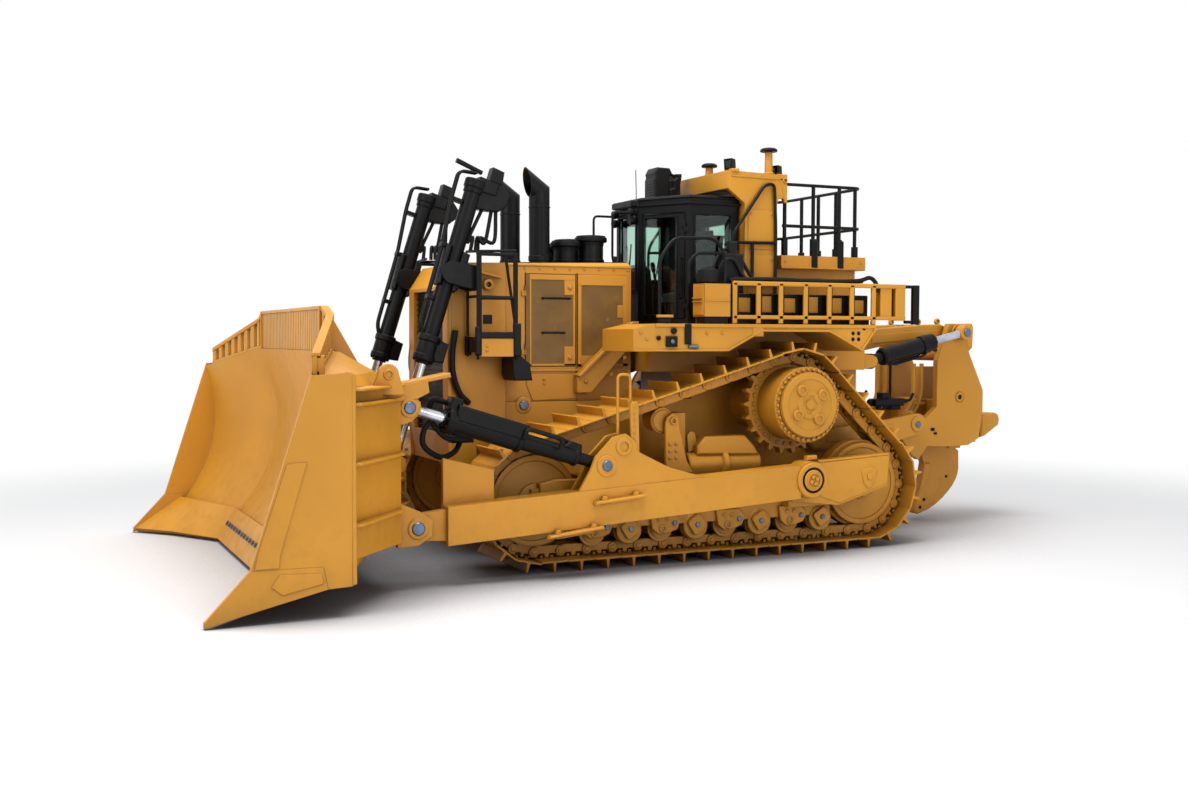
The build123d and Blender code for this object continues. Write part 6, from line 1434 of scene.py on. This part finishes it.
tank_trim = [bar((1.0, 1.64, 3.4), (1.006, 2.81, 3.406), 0.002),
             plate([(1.6, 3.425), (2.85, 3.425), (2.85, 3.405), (1.6, 3.405)], 0.998, 1.01, 0.003),
             bolts([(1.001, y, 3.49) for y in (1.66, 2.79)], ACROSS, 0.012, 0.006),
             bar((0.3, 1.9, 3.562), (0.62, 2.24, 3.576), 0.006),
             drum((0.0, 2.3, 3.562), (0.0, 2.3, 3.624), 0.085, 0.012, 28)]
add_piece("tank_trim", pair(*tank_trim), yellow)

# %% [markdown]
# ## Fenders
# The deck is carried by pressed fenders over the tracks. A lip runs along their lower edge, a black post
# and a small valve block show on the front one, and the first deck step has a bright grip strip.

# %% Fender lips, valve block and grips
FENDER_X = 1.81
lower_lip = [(-0.83, 2.39), (0.38, 2.39), (0.83, 2.615), (1.76, 2.615), (2.233, 2.385), (2.42, 2.62),
             (2.436, 2.7), (2.41, 2.7), (2.396, 2.63), (2.226, 2.418), (1.765, 2.64), (0.825, 2.64),
             (0.372, 2.415), (-0.83, 2.415)]
fender_parts = [plate(lower_lip, FENDER_X - 0.004, FENDER_X + 0.016, 0.005),
                plate([(-0.56, 2.66), (2.432, 2.66), (2.438, 2.702), (-0.56, 2.702)], FENDER_X - 0.004,
                      FENDER_X + 0.014, 0.005), bar((1.76, 0.7, 2.56), (1.822, 0.85, 2.69), 0.01)]
fender_parts.append(bolts([(FENDER_X, y, z)
                           for y, z in ((-0.74, 2.6), (-0.66, 2.53), (0.1, 2.6), (0.3, 2.6))], ACROSS,
                          0.016, 0.01))
add_piece("fender_lips", pair(*fender_parts), yellow)
black_bits = [bolts([(FENDER_X, y, z)
                     for y, z in ((2.1, 2.53), (2.18, 2.53), (2.1, 2.6), (2.18, 2.6), (2.26, 2.66))],
                    ACROSS, 0.018, 0.006), bar((1.812, -0.19, 2.47), (1.84, -0.11, 2.7), 0.008),
              bar((1.812, -0.43, 2.44), (1.85, -0.29, 2.56), 0.012),
              drum((1.812, -0.33, 2.62), (1.842, -0.33, 2.62), 0.035, 0.006, 20),
              bar((1.78, -0.5, 2.705), (1.812, -0.36, 2.76), 0.008),
              drum((1.812, -0.52, 2.54), (1.836, -0.52, 2.54), 0.026, 0.005, 16)]
add_piece("fender_fittings", pair(*black_bits), black)
add_piece("deck_grips", pair(bar((1.755, -0.52, 2.77), (1.815, -0.33, 2.8), 0.006)), yellow)
add_piece("deck_valve_pins", pair(drum((1.815, -0.14, 2.445), (1.83, -0.02, 2.445), 0.02, 0.004, 16),
                                  drum((1.85, -0.36, 2.5), (1.862, -0.36, 2.5), 0.024, 0.004, 16)),
          pin_steel)
print("deck fittings done")

# %% [markdown]
# ## Ripper
# The ripper is a parallelogram: a lower beam and two upper links carry a frame of thick plates, and two
# cylinders swing it. The links are tapered box beams with lifting eyes, every pin has a ring of boss
# plate round it, and the shank is flame-cut plate with a wear guard and a tip held on by pins.

# %% Links, bosses and pins
UPPER_X = 0.5
TOP_PIN, SHANK_PIN, LOW_PIN, BEAM_PIN = (4.629, 2.622), (4.671, 1.748), (3.852, 1.409), (2.273, 1.24)
link_side = [(3.15, 2.375), (3.6, 2.46), (4.48, 2.525), (4.54, 2.56), (4.53, 2.7), (4.44, 2.735),
             (4.1, 2.725), (3.42, 2.672), (3.15, 2.59)]
link_parts = [plate(link_side, UPPER_X - 0.055, UPPER_X + 0.055, 0.012),
              plate([(3.3, 2.47), (4.4, 2.565), (4.4, 2.66), (3.3, 2.59)], UPPER_X + 0.052, UPPER_X + 0.066,
                    0.004)]
link_parts += [drum((UPPER_X - 0.022, y, z), (UPPER_X + 0.022, y, z), 0.042, 0.008, 24, 0.02)
               for y, z in ((4.1, 2.762), (4.42, 2.772))]
add_piece("upper_link_beams", pair(*link_parts), yellow, "ripper_upper_links")
bosses = [drum((0.683, y, z), (0.683 + t, y, z), r, 0.01, 36, b) for y, z, t, r, b in
          ((*TOP_PIN, 0.03, 0.118, 0.056), (*SHANK_PIN, 0.01, 0.072, 0.034), (*LOW_PIN, 0.016, 0.12, 0.065))]
bosses.append(plate([(4.69, 2.74), (4.86, 2.745), (4.89, 2.7), (4.88, 2.42), (4.82, 2.37), (4.76, 2.5)],
                    0.56, 0.69, 0.01))
add_piece("ripper_bosses", pair(*bosses), yellow, "ripper_carriage")
beam_parts = [drum((0.828, *LOW_PIN), (0.846, *LOW_PIN), 0.105, 0.008, 36),
              drum((0.828, *BEAM_PIN), (0.842, *BEAM_PIN), 0.105, 0.008, 36),
              plate([(2.42, 1.215), (3.48, 1.25), (3.48, 1.42), (2.42, 1.275)], 0.828, 0.838, 0.004)]
add_piece("ripper_beam_plates", pair(*beam_parts), yellow, "ripper_beam")
add_piece("ripper_beam_pins", pair(drum((0.844, *LOW_PIN), (0.858, *LOW_PIN), 0.045, 0.006, 24)), pin_steel,
          "ripper_beam")
add_piece("ripper_frame_pins", pair(drum((0.709, *TOP_PIN), (0.722, *TOP_PIN), 0.042, 0.006, 24)), pin_steel,
          "ripper_carriage")
# Painted shade: a black disc fills the bore of the shank pin boss; the two black bars are latches.
pin_hole_shade_and_latches = shape_join([drum((0.684, *SHANK_PIN), (0.69, *SHANK_PIN), 0.034, 0.001, 24),
                        bar((0.684, 4.19, 1.3), (0.7, 4.25, 1.34), 0.008),
                        bar((0.684, 4.24, 1.25), (0.7, 4.29, 1.28), 0.006)])
add_piece("ripper_frame_latches", both(pin_hole_shade_and_latches), black, "ripper_carriage")

# %% Push block, shank guard and tip
block_side = [(5.302, 1.5), (5.56, 1.5), (5.615, 1.47), (5.636, 1.405), (5.622, 1.33), (5.38, 1.18),
              (5.302, 1.162)]
hitch = add_piece("push_block_casting", shape_join([plate(block_side, -0.4, 0.4, 0.022)]), yellow,
                  "ripper_carriage")
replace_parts(hitch, "push_block")
guard_side = [(4.59, 0.8), (4.545, 0.56), (4.48, 0.33), (4.425, 0.2), (4.424, 0.104), (4.49, 0.085),
              (4.66, 0.14), (4.64, 0.23), (4.6, 0.33), (4.66, 0.56), (4.69, 0.8)]
shank_parts = [plate(guard_side, -0.072, 0.072, 0.014), bar((-0.08, 5.0, 0.99), (0.08, 5.216, 1.13), 0.012)]
add_piece("shank_guard", shape_join(shank_parts), yellow, "ripper_carriage")
shank_pins = [drum((0.05, 4.983, 0.593), (0.06, 4.983, 0.593), 0.022, 0.003, 20)]
shank_pins += [drum((0.07, y, z), (0.08, y, z), 0.024, 0.004, 20) for y, z in ((4.585, 0.285), (4.52, 0.18))]
add_piece("shank_pins", pair(*shank_pins), black, "ripper_carriage")

# %% [markdown]
# Oil reaches the ripper's cylinders through steel pipes, painted with the frame, and short hoses that
# bridge each joint. The hoses are held at both ends, so they are plain smooth tubes.

# %% Ripper cylinders, pipes and hoses
CYL_FRONT, CYL_EYE = np.array((3.06, 2.245)), np.array(TOP_PIN)
CYL_ALONG = (CYL_EYE - CYL_FRONT) / np.linalg.norm(CYL_EYE - CYL_FRONT)
CYL_FRAME = on_cylinder(CYL_FRONT, CYL_ALONG, 0.8)
cylinder_parts = [drum((0, 0, 0.86), (0, 0, 0.99), 0.124, 0.012, 36),
                  drum((0, 0, 0.985), (0, 0, 1.08), 0.116, 0.012, 36, 0.06),
                  drum((0, 0, 0.225), (0, 0, 0.29), 0.116, 0.01, 36),
                  bolts(ring_of((0, 0, 1.078), UP, 0.092, 10), UP, 0.012),
                  *[tube(rounded_path([(x, 0.1, 0.3), (x, 0.135, 0.36), (x, 0.135, 0.84),
                                       (x, 0.11, 0.9)], 0.04), 0.014, 8) for x in (0.06, -0.06)]]
add_piece("ripper_cylinder_collars", both(turned(shape_join(cylinder_parts), CYL_FRAME)), black,
          "ripper_barrels")
eye_rings = drum((0.735, *CYL_EYE), (0.872, *CYL_EYE), 0.105, 0.01, 36)
add_piece("ripper_eye_rings", both(eye_rings), yellow, "ripper_rods")
add_piece("ripper_eye_pins", both(drum((0.868, *CYL_EYE), (0.89, *CYL_EYE), 0.056, 0.008, 28)), pin_steel,
          "ripper_rods")
frame_pipes = [tube(rounded_path([(0.4, y, 2.2), (0.4, y, 1.76), (0.4, y - 0.1, 1.56),
                                  (0.4, y - 0.2, 1.48)], 0.12), 0.03, 10) for y in (4.12, 4.25)]
frame_pipes.append(bar((0.372, 4.08, 1.64), (0.428, 4.3, 1.675), 0.008))
add_piece("ripper_frame_pipes", pair(*frame_pipes), yellow, "ripper_carriage")
frame_hoses = [tube(flowing_path([(0.592, 4.3, 2.38), (0.592, 4.42, 2.37), (0.592, 4.48, 2.24),
                                  (0.592, 4.485, 1.95), (0.592, 4.47, 1.68), (0.592, 4.33, 1.5)]), 0.018,
                    10)]
add_piece("ripper_frame_hoses", pair(*frame_hoses), hose_rubber, "ripper_carriage")
beam_valve = [bar((0.44, 3.34, 1.64), (0.6, 3.82, 1.74), 0.016),
              bar((0.45, 3.46, 1.735), (0.58, 3.6, 1.82), 0.014),
              bar((0.46, 3.6, 1.59), (0.58, 3.78, 1.65), 0.014),
              bar((0.49, 3.42, 1.44), (0.55, 3.48, 1.65), 0.008),
              drum((0.52, 3.28, 1.7), (0.52, 3.345, 1.7), 0.034, 0.006, 20),
              drum((0.52, 3.815, 1.7), (0.52, 3.9, 1.7), 0.03, 0.006, 20)]
beam_valve.append(tube(flowing_path([(0.52, 3.88, 1.7), (0.52, 3.97, 1.72), (0.52, 4.02, 1.8)]), 0.02, 10))
add_piece("ripper_hose_manifold", pair(*beam_valve), black, "ripper_beam")

# %% [markdown]
# ## Driver's seat
# A suspension seat shows dimly through the glass. A cushion is a closed pillow: crowned on top, pinched
# in at the seam that runs round its edge, and sewn in channels. A grid over a rounded square gives it,
# because each point's height falls off smoothly towards the seam.

# %% Padded cushions
def cushion(width, length, height, channels=3, sides=28):
    """Pillow about the origin, flat side down: superellipse outline, crowned top, channels across it."""
    u = np.linspace(-1, 1, sides)
    across, along = np.meshgrid(u, u, indexing="ij")
    reach = np.maximum(np.abs(across), np.abs(along))
    round_off = 1 - 0.1 * (np.abs(across) * np.abs(along)) ** 3
    fall = np.clip(1 - reach ** 6, 0, 1) ** 0.5
    channel = np.mod((along + 1) * channels / 2, 1) - 0.5
    sewn = 1 - 0.1 * np.exp(-(channel / 0.09) ** 2) * (np.abs(across) < 0.8)
    dome = 0.86 + 0.14 * (1 - across ** 2) * (1 - along ** 2)
    pull = 1 - 0.025 * (1 - np.abs(across)) * (reach > 0.98)
    top = np.stack([across * width / 2 * round_off * pull, along * length / 2 * round_off * pull,
                    height * (0.35 + 0.65 * fall * dome * sewn)], axis=-1)
    base = top * (1, 1, 0)
    row, column = np.arange(sides - 1)[:, None] * sides, np.arange(sides - 1)[None, :]
    quads = np.stack([row + column, row + column + sides, row + column + sides + 1, row + column + 1],
                     axis=-1).reshape(-1, 4)
    rim = np.concatenate([np.arange(sides) * sides, (sides - 1) * sides + np.arange(1, sides),
                          (np.arange(sides - 1)[::-1]) * sides + sides - 1, np.arange(1, sides - 1)[::-1]])
    count = sides * sides
    skirt = np.stack([rim, np.roll(rim, -1), np.roll(rim, -1) + count, rim + count], axis=-1)
    return np.vstack([top.reshape(-1, 3), base.reshape(-1, 3)]), [quads, quads[:, ::-1] + count, skirt]


cloth_finish = Finish("seat_cloth", Roughness=0.85, Sheen_Weight=0.25)
cloth_place = cloth_finish.place()
weave = (cloth_finish.node("ShaderNodeSeparateXYZ", None, cloth_place, output="X") * 1400.0).math("SINE") * \
        (cloth_finish.node("ShaderNodeSeparateXYZ", None, cloth_place, output="Y") * 1400.0).math("SINE")
seat_cloth = cloth_finish.give(Base_Color=cloth_finish.mix(cloth_finish.noise(40.0, place=cloth_place),
                                                           tone(34, 35, 38), tone(62, 63, 66)),
                               Normal=cloth_finish.bump(weave, 0.3, 0.001))
seat_pads = {
    "seat_cushion": turned(cushion(0.52, 0.5, 0.13), pointing((0, 0.8, 3.0), UP)),
    "seat_backrest": turned(cushion(0.5, 0.66, 0.12, 4), pointing((0, 1.09, 3.45), (0, -1, -0.16))),
    "seat_headrest": turned(cushion(0.3, 0.16, 0.08, 1), pointing((0, 1.13, 3.84), (0, -1, -0.1)))}
for name, shape in seat_pads.items():
    pad = add_piece(name, shape, seat_cloth, slot="grey", smooth=50)
    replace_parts(pad, "operator_seat")
seat_frame = [bar((-0.24, 0.6, 2.765), (0.24, 1.02, 2.8), 0.01),
              bar((-0.2, 0.64, 2.8), (0.2, 0.98, 2.99), 0.03),
              plate([(1.1, 2.99), (1.17, 2.99), (1.23, 3.84), (1.17, 3.84)], -0.235, 0.235, 0.012)]
consoles = [bar((0.3, 0.52, 2.765), (0.42, 1.01, 3.23), 0.03),
            bar((0.305, 0.5, 3.23), (0.415, 0.92, 3.29), 0.024),
            turned(revolve([(0.02, 0), (0.016, 0.1), (0.03, 0.13), (0.032, 0.2), (0.022, 0.235),
                            (0.001, 0.24)], 20), pointing((0.36, 0.56, 3.285), (0, -0.2, 1)))]
seat_base = add_piece("seat_base", shape_join(seat_frame + [pair(*consoles)]), black, slot="grey")
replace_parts(seat_base, "operator_seat")
dash_face = [plate([(-0.22, 3.18), (0.22, 3.18), (0.18, 3.4), (-0.18, 3.4)], 0.205, 0.214, 0.004, across="y")]
add_piece("dash_screen", shape_join(dash_face), black, slot="grey")

# %% [markdown]
# ## Studio floor
# The floor is white paper that takes a soft shadow, and an occlusion mask paints a deeper contact shadow
# into its colour near the machine. Far from the machine the paper is lit until it meets the wall, so a
# mask of the distance from the machine blends the paper into plain white.

# %% Floor
floor_finish = Finish("studio_floor", Roughness=0.9)
# Painted shadow: occlusion turns the floor's colour grey near the machine.
painted_contact_shadow = floor_finish.node("ShaderNodeAmbientOcclusion", {"samples": 8}, Distance=3.5, output="AO")
floor_finish.give(Base_Color=floor_finish.mix(floor_finish.between(painted_contact_shadow, 0.15, 0.95),
                                              tone(112, 112, 116), tone(240, 241, 243)))
reach = floor_finish.node("ShaderNodeVectorMath", {"operation": "LENGTH"}, floor_finish.place(),
                          output="Value")
glow = floor_finish.tree.nodes.new("ShaderNodeEmission")
fade = floor_finish.tree.nodes.new("ShaderNodeMixShader")
floor_out = floor_finish.tree.nodes["Material Output"]
floor_finish.set(fade.inputs[0], floor_finish.between(reach, 6.5, 15.0))
for start, end in ((floor_finish.shader.outputs[0], fade.inputs[1]), (glow.outputs[0], fade.inputs[2]),
                   (fade.outputs[0], floor_out.inputs["Surface"])):
    floor_finish.tree.links.new(start, end)
floor = add_piece("floor", rings([[(-90, -90, 0), (90, -90, 0), (90, 90, 0), (-90, 90, 0)]],
                                 caps=(False, True)), floor_finish.material, smooth=0)
floor.parent = None
